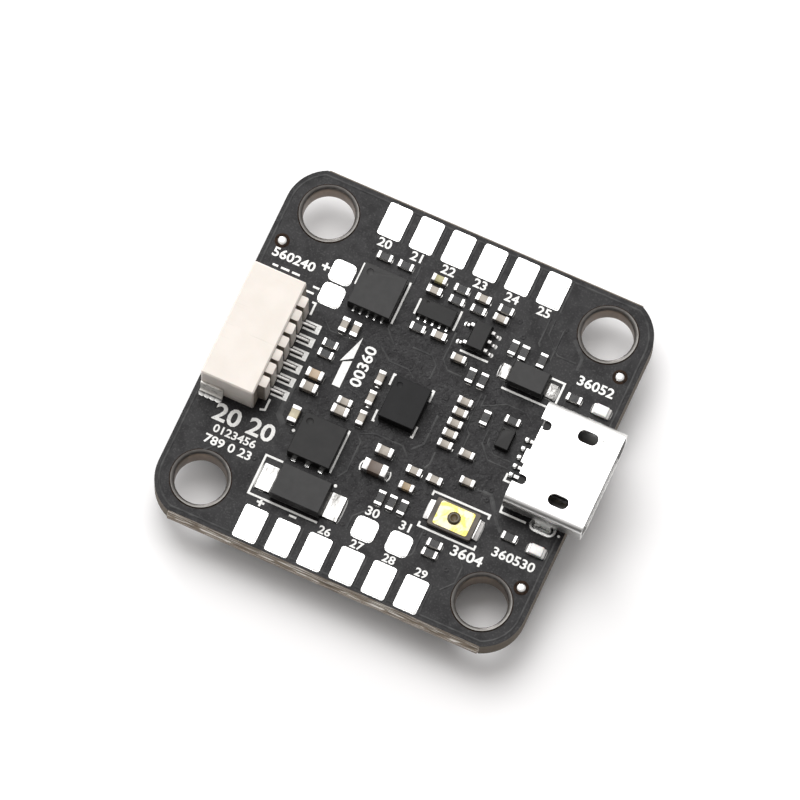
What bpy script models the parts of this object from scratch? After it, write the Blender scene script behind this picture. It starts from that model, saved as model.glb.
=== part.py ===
"""Flight controller board for a small multirotor, 20 x 20 mm hole pattern.

Frame: the origin is the centre of the four mounting holes, half way through the board.
+X points out of the USB socket, +Y to the front edge of the board, +Z out of the component side.
"""

import math

import bmesh
import bpy
from mathutils import Matrix, Vector

# Everything is drawn in millimetres. Each finished mesh is scaled to metres once, at the end.
MM = 0.001

# Solder or press clearance left between two pieces
GAP = 0.02

# Straight steps round a mounting hole
ROUND_STEPS = 40

# Board
BOARD_FRONT = 12.7
BOARD_REAR = -12.8
BOARD_THICKNESS = 1.6
TOP = BOARD_THICKNESS / 2
BOTTOM = -TOP
CORNER_RADIUS = 3.0  # routed about the mounting hole, so it also sets the half width
SCORE_STEP = 0.08  # width of the ramp where the snapped V-score meets the routed corner
# Height, and how far the snapped edge stands out there
SCORE_PROFILE = ((BOTTOM, 0.0), (-0.3, 0.13), (-0.24, 0.25), (0.24, 0.25), (0.3, 0.13), (TOP, 0.0))

# Mounting holes, M3 clearance
HOLE_SPACING = 20.0
HOLE_RADIUS = 1.7
RING_RADIUS = 1.99
PLATING = 0.06
RING_HEIGHT = 0.05

# Solder pads that stand on the laminate
PAD_HEIGHT = 0.04
EDGE_PAD = (1.6, 2.35, 0.15)  # width, depth, corner radius
EDGE_PADS_A_ROW = 6
FRONT_PAD_ROW = (-0.13, 11.275, 2.276)  # middle x, middle y, pitch
REAR_PAD_ROW = (-0.07, -11.455, 2.285)
SIGNAL_PAD = (1.56, 1.56, 0.35)
SIGNAL_PAD_PLACES = ((-7.5, 6.65), (-7.5, 4.93), (1.1, -8.7), (3.52, -8.7))

# Micro-USB receptacle
USB_Y = -0.1
USB_REAR = 8.65
USB_MOUTH = 14.15
USB_WIDTH = 7.5
USB_HEIGHT = 2.45
USB_SHEET = 0.25
USB_TOP_RADIUS = 0.5
USB_FLOOR_WIDTH = 5.3
USB_SHOULDER = 1.0  # height where the sides turn in towards the floor
USB_CONTACTS = 5
USB_PITCH = 0.65
USB_WINDOW = (1.4, 0.85, 0.4)
USB_WINDOW_X = 11.95
USB_WINDOW_Y = 2.37
USB_NOTCH = (0.75, 0.66)
USB_NOTCH_Y = 2.0
USB_LEG_LENGTH = 1.1
USB_LEG_X = 11.52
USB_LEG_DEPTH = 1.1  # how far a leg reaches below the component side
USB_SLOT = (1.5, 0.6)
USB_TAB = (-0.42, 0.5, 0.42)  # middle, half width and reach of the bent tab at the rear
USB_BLOCK_FRONT = 10.6
USB_TONGUE_FRONT = 13.35
USB_TONGUE_WIDTH = 3.9
USB_TONGUE = (1.15, 1.75)
USB_CONTACT_WIDTH = 0.25

# Six-way side-entry harness socket, 1 mm pitch
SOCKET_Y = -0.05
SOCKET_PIN_Y = -0.08
SOCKET_MOUTH = -12.64
SOCKET_BACK = -8.9
SOCKET_FIN_END = -8.35
SOCKET_WIDTH = 8.4
SOCKET_HEIGHT = 2.95
SOCKET_FIN_HEIGHT = 2.75
SOCKET_PITCH = 1.0
SOCKET_WAYS = 6
SOCKET_SLOT = 0.26
SOCKET_CAVITY = (7.2, 0.5, 2.45)
SOCKET_CAVITY_DEPTH = 3.0
PIN_WIDTH = 0.2
PIN_TAIL_END = -7.5

# Boot switch
SWITCH_X = 6.1
SWITCH_Y = -5.75
SWITCH_SIZE = (3.05, 1.95)
SWITCH_RIM = 0.42
SWITCH_FLOOR = 0.12
SWITCH_WELL = (2.1, 1.5)
COVER_SIZE = (2.4, 1.68)
COVER_SHEET = 0.04
PLUNGER_RADIUS = 0.4
PLUNGER_FLANGE = 0.62
PLUNGER_TOP = 0.64
DOME_RADIUS = 0.68

# Leadless chips: name, centre x, centre y, size x, size y, height
FLAT_CHIPS = (
    ("quad_flat_chip", -4.8, 6.25, 3.0, 3.0, 0.85),
    ("dual_flat_chip", -0.72, 6.6, 2.5, 1.2, 0.5),
    ("motion_sensor", 0.0, -0.02, 2.5, 3.0, 0.9),
    ("surge_protection_chip", 6.86, 0.6, 0.95, 1.45, 0.5),
    ("buck_regulator", -4.1, -4.72, 3.0, 3.0, 0.9),
)

# Chip capacitors and the inductor: name, centre x, centre y, length, width, height, turned
CHIP_PASSIVES = (
    ("power_inductor", 0.06, -4.8, 1.65, 0.8, 0.8, False),
    ("input_capacitor_1", -6.17, -0.57, 1.15, 0.62, 0.6, False),
    ("input_capacitor_2", -6.17, -1.51, 1.15, 0.62, 0.6, False),
    ("input_capacitor_3", -6.25, -3.6, 1.15, 0.62, 0.6, True),
    ("output_capacitor_1", -3.65, -2.15, 1.15, 0.62, 0.6, False),
    ("output_capacitor_2", 0.12, -3.45, 1.15, 0.62, 0.6, False),
    ("output_capacitor_3", 2.4, -5.05, 1.0, 0.5, 0.5, False),
    ("sensor_capacitor_1", -2.2, 1.0, 1.0, 0.5, 0.5, True),
    ("sensor_capacitor_2", -2.2, -0.5, 1.0, 0.5, 0.5, True),
    ("sensor_capacitor_3", -2.2, -2.0, 1.0, 0.5, 0.5, True),
    ("filter_capacitor_1", 1.86, 4.35, 1.0, 0.5, 0.5, False),
    ("filter_capacitor_2", 5.05, -1.4, 1.0, 0.5, 0.5, False),
    ("filter_capacitor_3", 5.85, -3.1, 1.0, 0.5, 0.5, False),
    ("filter_capacitor_4", -3.63, -1.45, 1.0, 0.5, 0.5, False),
    ("filter_capacitor_5", 3.25, 7.97, 1.0, 0.5, 0.5, False),
    ("filter_capacitor_6", -1.5, 8.78, 1.0, 0.5, 0.5, False),
)
BANK_X = 3.48
BANK_Y = (1.82, 1.02, 0.2, -0.58, -1.37)

# Flat-lead diodes: name, centre x, centre y, body, height, lead width, lead reach
FLAT_DIODES = (
    ("small_diode", 6.6, 4.87, (2.6, 1.72), 1.05, 1.0, 0.65),
    ("large_diode", -3.67, -8.2, (3.6, 2.4), 1.2, 1.8, 1.1),
)
LEAD_SHEET = 0.2

# Lamps: name, centre x, centre y
LAMPS = (("power_lamp", 11.76, 4.99), ("status_lamp", 11.81, -5.45))
LAMP_SIZE = (1.25, 0.7, 0.45)

# Five-lead regulator
REGULATOR_CENTRE = (2.5, 6.17)
REGULATOR_BODY = (1.25, 2.0, 0.92)
REGULATOR_PITCH = 0.65
REGULATOR_SPAN = 2.2

# Underside parts
PROCESSOR_CENTRE = (0.0, 0.6)
PROCESSOR_BODY = (10.0, 10.0, 1.4)
PROCESSOR_PITCH = 0.5
PROCESSOR_LEADS_A_SIDE = 16
PROCESSOR_SPAN = 12.0
CRYSTAL_CENTRE = (-8.6, 1.5)
CRYSTAL_SIZE = (2.5, 3.2, 0.75)


# ---------------------------------------------------------------- materials


def material(name, colour, roughness, metallic=0.0):
    """A Principled material with one colour."""
    made = bpy.data.materials.new(name)
    made.use_nodes = True
    shader = made.node_tree.nodes["Principled BSDF"]
    shader.inputs["Base Color"].default_value = (*colour, 1.0)
    shader.inputs["Roughness"].default_value = roughness
    shader.inputs["Metallic"].default_value = metallic
    return made


def make_materials():
    """All the materials of the board, by name."""
    return {
        "solder_mask": material("solder_mask", (0.055, 0.055, 0.06), 0.45),
        "tin": material("tin", (0.82, 0.82, 0.8), 0.3, 1.0),
        "steel": material("steel", (0.78, 0.78, 0.77), 0.25, 1.0),
        "gold": material("gold", (0.83, 0.64, 0.3), 0.25, 1.0),
        "black_moulding": material("black_moulding", (0.03, 0.03, 0.032), 0.5),
        "ivory_moulding": material("ivory_moulding", (0.8, 0.77, 0.7), 0.45),
        "amber_film": material("amber_film", (0.75, 0.42, 0.08), 0.25),
        "ceramic": material("ceramic", (0.42, 0.37, 0.31), 0.45),
        "lamp_lens": material("lamp_lens", (0.85, 0.85, 0.8), 0.3),
    }


# ---------------------------------------------------------------- drawing


def arc(cx, cy, radius, start, end, steps):
    """Points along an arc; angles in degrees, both ends included."""
    points = []
    for i in range(steps + 1):
        angle = math.radians(start + (end - start) * i / steps)
        points.append((cx + radius * math.cos(angle), cy + radius * math.sin(angle)))
    return points


def rectangle(width, depth, cx=0.0, cy=0.0):
    """Outline of a sharp rectangle, anticlockwise."""
    x, y = width / 2, depth / 2
    return [(cx - x, cy - y), (cx + x, cy - y), (cx + x, cy + y), (cx - x, cy + y)]


def rounded_rectangle(width, depth, radius, cx=0.0, cy=0.0, steps=4):
    """Outline of a rectangle with round corners, anticlockwise."""
    x, y = width / 2 - radius, depth / 2 - radius
    return (
        arc(cx + x, cy - y, radius, -90, 0, steps)
        + arc(cx + x, cy + y, radius, 0, 90, steps)
        + arc(cx - x, cy + y, radius, 90, 180, steps)
        + arc(cx - x, cy - y, radius, 180, 270, steps)
    )


def prism(outline, low, high):
    """A bmesh solid that stands on an outline in the XY plane."""
    return loft([(outline, low), (outline, high)])


def loft(sections):
    """A bmesh solid through (outline, height) sections with equal numbers of points."""
    bm = bmesh.new()
    rings = [[bm.verts.new((x, y, z)) for x, y in outline] for outline, z in sections]
    for lower, upper in zip(rings, rings[1:]):
        for i in range(len(lower)):
            j = (i + 1) % len(lower)
            bm.faces.new((lower[i], lower[j], upper[j], upper[i]))
    bm.faces.new(list(reversed(rings[0])))
    bm.faces.new(rings[-1])
    return bm


def face_x(bm):
    """Turns a bmesh so that what stood along Z lies along X, and X and Y become Y and Z."""
    turn = Matrix(((0, 0, 1), (1, 0, 0), (0, 1, 0)))
    bmesh.ops.transform(bm, matrix=turn.to_4x4(), verts=bm.verts)
    return bm


def along_x(outline, low, high):
    """A bmesh solid whose outline lies in the YZ plane, from x = low to x = high."""
    return face_x(prism(outline, low, high))


def along_y(outline, low, high):
    """A bmesh solid whose outline lies in the XZ plane, from y = low to y = high."""
    bm = prism(outline, low, high)
    # what stood along Z lies along -Y, and X and Y become X and Z
    turn = Matrix(((1, 0, 0), (0, 0, -1), (0, 1, 0)))
    bmesh.ops.transform(bm, matrix=turn.to_4x4(), verts=bm.verts)
    bmesh.ops.translate(bm, vec=(0, low + high, 0), verts=bm.verts)
    return bm


def box(low, high):
    """A bmesh box between two corners."""
    outline = [(low[0], low[1]), (high[0], low[1]), (high[0], high[1]), (low[0], high[1])]
    return prism(outline, low[2], high[2])


def lathe(profile, steps):
    """A bmesh solid turned about Z from a closed (radius, height) profile off the axis."""
    bm = bmesh.new()
    rings = []
    for i in range(steps):
        angle = 2 * math.pi * i / steps
        c, s = math.cos(angle), math.sin(angle)
        rings.append([bm.verts.new((r * c, r * s, z)) for r, z in profile])
    for i in range(steps):
        here, there = rings[i], rings[(i + 1) % steps]
        for j in range(len(profile)):
            k = (j + 1) % len(profile)
            bm.faces.new((here[j], there[j], there[k], here[k]))
    bmesh.ops.recalc_face_normals(bm, faces=bm.faces)
    return bm


def turned(profile, steps):
    """A bmesh solid turned about Z; profile runs up from the axis and back to the axis."""
    outline = [point for point in profile if point[0] > 0]
    bm = bmesh.new()
    rings = []
    for r, z in outline:
        ring = []
        for i in range(steps):
            angle = 2 * math.pi * i / steps
            ring.append(bm.verts.new((r * math.cos(angle), r * math.sin(angle), z)))
        rings.append(ring)
    for lower, upper in zip(rings, rings[1:]):
        for i in range(steps):
            j = (i + 1) % steps
            bm.faces.new((lower[i], lower[j], upper[j], upper[i]))
    for ring, (_, z) in ((rings[0], profile[0]), (rings[-1], profile[-1])):
        pole = bm.verts.new((0, 0, z))
        for i in range(steps):
            bm.faces.new((ring[i], ring[(i + 1) % steps], pole))
    bmesh.ops.recalc_face_normals(bm, faces=bm.faces)
    return bm


def evenly(count, pitch):
    """Places of a row of things about its middle."""
    return [(i - (count - 1) / 2) * pitch for i in range(count)]


def chamfer(bm, width, choose):
    """Bevels the edges that choose(edge) picks, with one flat face each."""
    edges = [edge for edge in bm.edges if choose(edge)]
    bmesh.ops.bevel(bm, geom=edges, offset=width, segments=1, affect="EDGES", clamp_overlap=True)
    return bm


def sharp_edges_at(height):
    """A chooser for the edges that lie flat at one height."""
    return lambda edge: all(abs(v.co.z - height) < 1e-4 for v in edge.verts)


def upright_edges(edge):
    """True for an edge that stands along Z."""
    start, end = (v.co for v in edge.verts)
    return (start - end).xy.length < 1e-4


# ---------------------------------------------------------------- objects


def add_part(name, bm, finish, place=(0.0, 0.0, 0.0)):
    """Turns a bmesh into a named object with its material, at place."""
    mesh = bpy.data.meshes.new(name)
    bm.to_mesh(mesh)
    bm.free()
    part = bpy.data.objects.new(name, mesh)
    part.location = place
    bpy.context.scene.collection.objects.link(part)
    if finish:
        mesh.materials.append(finish)
    return part


def combine(part, solids, operation):
    """Adds solids to a part, or cuts them from it, by exact Booleans."""
    tools = [add_part("tool", bm, None, part.location) for bm in solids]
    for tool in tools:
        modifier = part.modifiers.new(operation, "BOOLEAN")
        modifier.operation = operation
        modifier.solver = "EXACT"
        modifier.object = tool
    bpy.context.view_layer.update()
    graph = bpy.context.evaluated_depsgraph_get()
    made = bpy.data.meshes.new_from_object(part.evaluated_get(graph))
    before = part.data
    part.modifiers.clear()
    part.data = made
    bpy.data.meshes.remove(before)
    made.name = part.name
    for tool in tools:
        bpy.data.meshes.remove(tool.data)


def cut(part, solids):
    """Cuts bmesh solids from a part."""
    combine(part, solids, "DIFFERENCE")


def weld(part, solids):
    """Joins bmesh solids to a part."""
    combine(part, solids, "UNION")


# ---------------------------------------------------------------- board


def board_section(stand_out):
    """Board outline, anticlockwise, with its two snapped edges standing out by stand_out."""
    half = HOLE_SPACING / 2
    steps = 10
    outline = []
    for edge_y in (BOARD_REAR, BOARD_FRONT):
        side = math.copysign(1, edge_y)
        # the round corner ends early, where the V-score cuts it
        sweep = math.degrees(math.asin((abs(edge_y) - half) / CORNER_RADIUS))
        right = arc(half, side * half, CORNER_RADIUS, side * sweep, 0, steps)
        score = (right[0][0] - SCORE_STEP, edge_y + side * stand_out)
        run = [score] + right
        mirrored = [(-x, y) for x, y in reversed(run)]
        outline += mirrored + run if side < 0 else run[::-1] + mirrored[::-1]
    return outline


def hole_centres():
    """The four mounting-hole centres with a name for each."""
    half = HOLE_SPACING / 2
    return (
        ("front_left", -half, half),
        ("front_right", half, half),
        ("rear_left", -half, -half),
        ("rear_right", half, -half),
    )


def pad_outlines():
    """The outline of every large solder pad."""
    outlines = []
    for middle_x, middle_y, pitch in (FRONT_PAD_ROW, REAR_PAD_ROW):
        for x in evenly(EDGE_PADS_A_ROW, pitch):
            outlines.append(rounded_rectangle(*EDGE_PAD, middle_x + x, middle_y, 2))
    for x, y in SIGNAL_PAD_PLACES:
        outlines.append(rounded_rectangle(*SIGNAL_PAD, x, y, 3))
    return outlines


def make_laminate(finish):
    """The bare board, with its pads, its mounting holes and the slots for the USB legs."""
    sections = [(board_section(stand_out), z) for z, stand_out in SCORE_PROFILE]
    board = add_part("pcb_laminate", loft(sections), finish)
    weld(board, [prism(outline, TOP - 0.1, TOP + PAD_HEIGHT) for outline in pad_outlines()])
    cutters = []
    for _, x, y in hole_centres():
        drill = arc(x, y, HOLE_RADIUS + PLATING + GAP, 0, 360, ROUND_STEPS)[:-1]
        cutters.append(prism(drill, BOTTOM - 1, TOP + 1))
    for side in (-1, 1):
        y = USB_Y + side * (USB_WIDTH - USB_SHEET) / 2
        slot = rounded_rectangle(*USB_SLOT, USB_SLOT[1] / 2 - 0.01, USB_LEG_X, y, 5)
        cutters.append(prism(slot, BOTTOM - 1, TOP + 1))
    cut(board, cutters)


def make_hole_barrels(finish):
    """The plated barrel and annular rings of each mounting hole."""
    outer, high = HOLE_RADIUS + PLATING, TOP + GAP
    lip = 0.05
    upper = [
        (outer, high),
        (RING_RADIUS, high),
        (RING_RADIUS, high + RING_HEIGHT),
        (HOLE_RADIUS + lip, high + RING_HEIGHT),
        (HOLE_RADIUS, high + RING_HEIGHT - lip),
    ]
    lower = [(radius, -height) for radius, height in reversed(upper)]
    for name, x, y in hole_centres():
        add_part("hole_barrel_" + name, lathe(upper + lower, ROUND_STEPS), finish, (x, y, 0))


# ---------------------------------------------------------------- micro-USB receptacle


def usb_profile(inset):
    """Front view of the shell in (y, z) from its floor, moved in by inset."""
    half = USB_WIDTH / 2 - inset
    floor_half = USB_FLOOR_WIDTH / 2 - inset * 0.5
    top = USB_HEIGHT - inset
    radius = USB_TOP_RADIUS - inset
    lower = 0.3
    shoulder = USB_SHOULDER
    points = [(-floor_half, inset), (floor_half, inset)]
    points += [(half - lower * 0.3, shoulder - lower * 0.55), (half, shoulder + lower * 0.2)]
    points += arc(half - radius, top - radius, radius, 0, 90, 5)
    points += arc(-half + radius, top - radius, radius, 90, 180, 5)
    points += [(-half, shoulder + lower * 0.2), (-half + lower * 0.3, shoulder - lower * 0.55)]
    return points


def make_usb_shell(finish):
    """The drawn steel shell: open front and rear, latch windows, rear notches and anchor legs."""
    floor = TOP + GAP
    shell = add_part(
        "usb_shell", along_x(usb_profile(0), USB_REAR, USB_MOUTH), finish, (0, USB_Y, floor)
    )
    legs = []
    for side in (-1, 1):
        outer, inner = USB_WIDTH / 2, USB_WIDTH / 2 - USB_SHEET
        low, high = sorted((side * outer, side * inner))
        x0 = USB_LEG_X - USB_LEG_LENGTH / 2
        x1 = USB_LEG_X + USB_LEG_LENGTH / 2
        legs.append(box((x0, low, -USB_LEG_DEPTH - GAP), (x1, high, USB_SHOULDER + 0.3)))
    weld(shell, legs)

    width, depth, corner = USB_WINDOW
    roof = USB_HEIGHT - USB_SHEET - 0.1
    cutters = [along_x(usb_profile(USB_SHEET), USB_REAR - 1, USB_MOUTH + 1)]
    for side in (-1, 1):
        window = rounded_rectangle(width, depth, corner, USB_WINDOW_X, side * USB_WINDOW_Y)
        cutters.append(prism(window, roof, USB_HEIGHT + 1))
        notch = rounded_rectangle(
            2 * USB_NOTCH[0], USB_NOTCH[1], 0.28, USB_REAR + 0.1, side * USB_NOTCH_Y
        )
        cutters.append(prism(notch, roof, USB_HEIGHT + 1))
    # the roof is set back between the notches, apart from a bent tab with a crease before it
    tab_y, tab_half, tab_reach = USB_TAB
    rear_roof = USB_REAR + 0.24
    for low, high in ((-USB_NOTCH_Y, tab_y - tab_half), (tab_y + tab_half, USB_NOTCH_Y)):
        cutters.append(box((USB_REAR - 1, low, roof), (rear_roof, high, 4)))
    skin = USB_HEIGHT - 0.1
    crease = USB_REAR + tab_reach
    cutters.append(box((crease, tab_y - tab_half, skin), (crease + 0.07, tab_y + tab_half, 4)))
    # the floor is open above the contact tails
    cutters.append(box((USB_REAR - 1, -2.1, -1), (USB_REAR + 1.0, 2.1, USB_SHEET + 0.1)))
    for side in (-1, 1):
        dimple = rounded_rectangle(0.28, 0.5, 0.13, USB_WINDOW_X + 1.05, side * USB_WINDOW_Y)
        cutters.append(prism(dimple, skin, USB_HEIGHT + 1))
    cut(shell, cutters)


def make_usb_insulator(finish):
    """The moulded block and tongue, with a slot for each contact."""
    rear = USB_REAR + 0.3
    block = along_x(usb_profile(USB_SHEET + GAP), rear, USB_BLOCK_FRONT)
    part = add_part("usb_insulator", block, finish, (0, USB_Y, TOP + GAP))
    half = USB_TONGUE_WIDTH / 2
    low, high = USB_TONGUE
    tongue = box((USB_BLOCK_FRONT - 0.3, -half, low), (USB_TONGUE_FRONT, half, high))
    chamfer(tongue, 0.12, lambda edge: all(v.co.x > USB_TONGUE_FRONT - 0.01 for v in edge.verts))
    weld(part, [tongue])
    slots = []
    reach = USB_CONTACT_WIDTH / 2 + GAP
    for y in evenly(USB_CONTACTS, USB_PITCH):
        slots.append(box((USB_REAR + 0.48, y - reach, -1), (13.0, y + reach, low + GAP)))
    cut(part, slots)


def make_usb_contacts(finish):
    """Five bent contacts: a tail on the board, a riser, and a blade under the tongue."""
    tail, sheet = 0.15, 0.08
    blade_top = USB_TONGUE[0] - 0.005
    x_tail, x_riser, x_tip = USB_REAR - 0.65, USB_REAR + 0.5, 12.9
    side_view = [
        (x_tail, 0.01),
        (x_riser + tail, 0.01),
        (x_riser + tail, blade_top - sheet - 0.05),
        (x_riser + tail + 0.05, blade_top - sheet),
        (x_tip, blade_top - sheet),
        (x_tip + 0.06, blade_top - sheet / 2),
        (x_tip, blade_top),
        (x_riser, blade_top),
        (x_riser, tail + 0.06),
        (x_riser - 0.06, tail),
        (x_tail, tail),
    ]
    half = USB_CONTACT_WIDTH / 2
    for number, y in enumerate(evenly(USB_CONTACTS, USB_PITCH), 1):
        bm = along_y(side_view, -half, half)
        add_part(f"usb_contact_{number}", bm, finish, (0, USB_Y + y, TOP + GAP))


# ---------------------------------------------------------------- harness socket


def make_socket_housing(finish):
    """The moulded housing: a mouth towards -X and a comb of fins at the back."""
    half = SOCKET_WIDTH / 2
    shift = SOCKET_PIN_Y - SOCKET_Y
    body = box((SOCKET_MOUTH, -half, 0), (SOCKET_BACK, half, SOCKET_HEIGHT))
    chamfer(body, 0.1, lambda edge: upright_edges(edge) or sharp_edges_at(SOCKET_HEIGHT)(edge))
    housing = add_part("socket_housing", body, finish, (0, SOCKET_Y, TOP + GAP))
    fin_half = (SOCKET_PITCH - SOCKET_SLOT) / 2
    fins = []
    for place in evenly(SOCKET_WAYS + 1, SOCKET_PITCH):
        y = shift + place
        low, high = y - fin_half, y + fin_half
        fin = box((SOCKET_BACK - 0.3, low, 0.1), (SOCKET_FIN_END, high, SOCKET_FIN_HEIGHT))
        chamfer(fin, 0.08, lambda edge: upright_edges(edge) and edge.verts[0].co.x > SOCKET_BACK)
        fins.append(fin)
    weld(housing, fins)

    width, low, high = SOCKET_CAVITY
    back = SOCKET_MOUTH + SOCKET_CAVITY_DEPTH
    cutters = [box((SOCKET_MOUTH - 1, -width / 2, low), (back, width / 2, high))]
    # keyways in the side walls and two finger slots in the floor
    key = width / 2 + 0.25
    cutters.append(box((SOCKET_MOUTH - 1, -key, 0.9), (SOCKET_MOUTH + 1.6, key, 1.7)))
    for side in (-1, 1):
        y = side * 2.3
        reach = SOCKET_MOUTH + 1.2
        cutters.append(box((SOCKET_MOUTH - 1, y - 0.5, -1), (reach, y + 0.5, low + 0.1)))
    bore = PIN_WIDTH / 2 + GAP
    for pin_y in evenly(SOCKET_WAYS, SOCKET_PITCH):
        y = shift + pin_y
        cutters.append(box((back - 0.1, y - bore, 1.38), (SOCKET_FIN_END + 1, y + bore, 1.62)))
    cut(housing, cutters)


def make_socket_pins(finish):
    """Six bent pins: a blade in the cavity, a drop behind the back wall, and a tail on the board."""
    sheet = 0.2
    x_tip, x_drop = SOCKET_MOUTH + 0.7, SOCKET_BACK + 0.2
    side_view = [
        (x_tip, 1.45),
        (x_tip + 0.15, 1.4),
        (x_drop, 1.4),
        (x_drop, 0.08),
        (x_drop + 0.07, 0.01),
        (PIN_TAIL_END, 0.01),
        (PIN_TAIL_END, 0.16),
        (x_drop + sheet + 0.06, 0.16),
        (x_drop + sheet, 0.22),
        (x_drop + sheet, 1.52),
        (x_drop + sheet - 0.08, 1.6),
        (x_tip + 0.15, 1.6),
        (x_tip, 1.55),
    ]
    half = PIN_WIDTH / 2
    for number, y in enumerate(evenly(SOCKET_WAYS, SOCKET_PITCH), 1):
        bm = along_y(side_view, -half, half)
        add_part(f"socket_pin_{number}", bm, finish, (0, SOCKET_PIN_Y + y, TOP + GAP))


def make_socket_anchors(finish):
    """The two angle brackets that solder the housing's sides to the board."""
    sheet, foot, length = 0.15, 0.3, 1.6
    near = SOCKET_WIDTH / 2 + GAP
    start = SOCKET_MOUTH + 0.05
    for name, side in (("front", 1), ("rear", -1)):
        angle = [
            (near, 0.01),
            (near + foot, 0.01),
            (near + foot, sheet),
            (near + sheet + 0.05, sheet),
            (near + sheet, sheet + 0.05),
            (near + sheet, 1.3),
            (near, 1.3),
        ]
        outline = [(side * y, z) for y, z in angle]
        bm = along_x(outline if side > 0 else outline[::-1], start, start + length)
        add_part("socket_anchor_" + name, bm, finish, (0, SOCKET_Y, TOP + GAP))


# ---------------------------------------------------------------- boot switch


def make_switch_base(finish):
    """The moulded tray that holds the dome."""
    bm = prism(rounded_rectangle(*SWITCH_SIZE, 0.12, steps=2), 0, SWITCH_RIM)
    base = add_part("boot_switch_base", bm, finish, (SWITCH_X, SWITCH_Y, TOP + GAP))
    well = prism(rounded_rectangle(*SWITCH_WELL, 0.7), SWITCH_FLOOR, 1)
    cut(base, [well])


def make_switch_cover(finish):
    """The thin film over the tray, with a round opening for the plunger."""
    low = SWITCH_RIM + GAP
    bm = prism(rounded_rectangle(*COVER_SIZE, 0.15, steps=3), low, low + COVER_SHEET)
    cover = add_part("boot_switch_cover", bm, finish, (SWITCH_X, SWITCH_Y, TOP + GAP))
    opening = prism(arc(0, 0, PLUNGER_RADIUS + 0.05, 0, 360, 20)[:-1], 0, 1)
    cut(cover, [opening])


def make_switch_dome(finish):
    """The snap dome: a thin spherical cap that stands on its rim."""
    low, high = SWITCH_FLOOR + GAP, SWITCH_FLOOR + 0.17
    sheet = 0.03
    steps = 5
    outer, inner = [], []
    for i in range(steps + 1):
        share = i / steps
        radius = DOME_RADIUS * (1 - share)
        height = low + (high - low) * (1 - (1 - share) ** 2)
        outer.append((radius, height + sheet))
        inner.append((radius, height))
    profile = inner[::-1] + outer
    dome = turned(profile, 20)
    add_part("boot_switch_dome", dome, finish, (SWITCH_X, SWITCH_Y, TOP + GAP))


def make_switch_plunger(finish):
    """The button: a nub through the cover on a flange under it. Its origin is on the slide axis."""
    flange_low, flange_high = 0.34, 0.41
    profile = [
        (0, flange_low),
        (PLUNGER_FLANGE, flange_low),
        (PLUNGER_FLANGE, flange_high),
        (PLUNGER_RADIUS, flange_high),
        (PLUNGER_RADIUS, PLUNGER_TOP - 0.05),
        (PLUNGER_RADIUS - 0.05, PLUNGER_TOP),
        (0, PLUNGER_TOP),
    ]
    place = (SWITCH_X, SWITCH_Y, TOP + GAP)
    add_part("boot_switch_plunger", turned(profile, 24), finish, place)


def make_switch_terminals(finish):
    """The two folded end terminals."""
    near = SWITCH_SIZE[0] / 2 + GAP
    sheet = 0.12
    for name, side in (("left", -1), ("right", 1)):
        angle = [
            (near, 0.0),
            (near + 0.38, 0.0),
            (near + 0.38, sheet),
            (near + sheet, sheet + 0.04),
            (near + sheet, 0.3),
            (near, 0.3),
        ]
        outline = [(side * x, z) for x, z in angle]
        bm = along_y(outline if side < 0 else outline[::-1], -0.7, 0.7)
        bmesh.ops.recalc_face_normals(bm, faces=bm.faces)
        place = (SWITCH_X, SWITCH_Y, TOP + GAP)
        add_part("boot_switch_terminal_" + name, bm, finish, place)


# ---------------------------------------------------------------- chips


def chip_body(width, depth, height, edge=0.04):
    """A moulded package with softened upright and top edges."""
    bm = box((-width / 2, -depth / 2, 0), (width / 2, depth / 2, height))
    return chamfer(bm, edge, lambda e: upright_edges(e) or sharp_edges_at(height)(e))


def make_flat_chips(finish):
    """Leadless packages, each with its first-pad dimple."""
    for name, x, y, width, depth, height in FLAT_CHIPS:
        part = add_part(name, chip_body(width, depth, height), finish, (x, y, TOP + GAP))
        radius = min(width, depth) * 0.08
        mark = arc(-width * 0.32, depth * 0.32, radius, 0, 360, 10)[:-1]
        cut(part, [prism(mark, height - 0.03, height + 1)])


def draft_body(width, depth, height, floor, lean=0.1):
    """A moulded package that leans in above and below its parting line."""
    middle = floor + (height - floor) * 0.45
    thin = rectangle(width - 2 * lean, depth - 2 * lean)
    wide = rectangle(width, depth)
    return loft([(thin, floor), (wide, middle), (wide, middle + 0.06), (thin, height)])


def gull_wing(start, end, rise, sheet, foot):
    """Side view of a gull-wing lead in (reach, height), from inside the body to its toe."""
    return [
        (start, rise),
        (start, rise + sheet),
        (end - foot - 0.5 * sheet, rise + sheet),
        (end - foot + 0.7 * sheet, sheet),
        (end, sheet),
        (end, 0.0),
        (end - foot, 0.0),
        (end - foot - sheet, rise),
    ]


def spin_solid(bm, degrees):
    """Turns a bmesh about Z."""
    turn = Matrix.Rotation(math.radians(degrees), 4, "Z")
    bmesh.ops.transform(bm, matrix=turn, verts=bm.verts)
    return bm


def leaded_chip(name, body, floor, rows, span, lead, finish):
    """A moulded package with gull-wing leads; rows maps an angle to the places of its leads."""
    width, depth, height = body
    part = add_part(name, draft_body(width, depth, height, floor), finish)
    lead_width, sheet, foot = lead
    rise = floor + (height - floor) * 0.45 - 0.02
    solids = []
    for angle, places in rows.items():
        side = width / 2 if angle in (0, 180) else depth / 2
        view = gull_wing(side - 0.2, span / 2, rise, sheet, foot)
        for y in places:
            bm = along_y(view, y - lead_width / 2, y + lead_width / 2)
            bmesh.ops.recalc_face_normals(bm, faces=bm.faces)
            solids.append(spin_solid(bm, angle))
    weld(part, solids)
    return part


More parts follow.
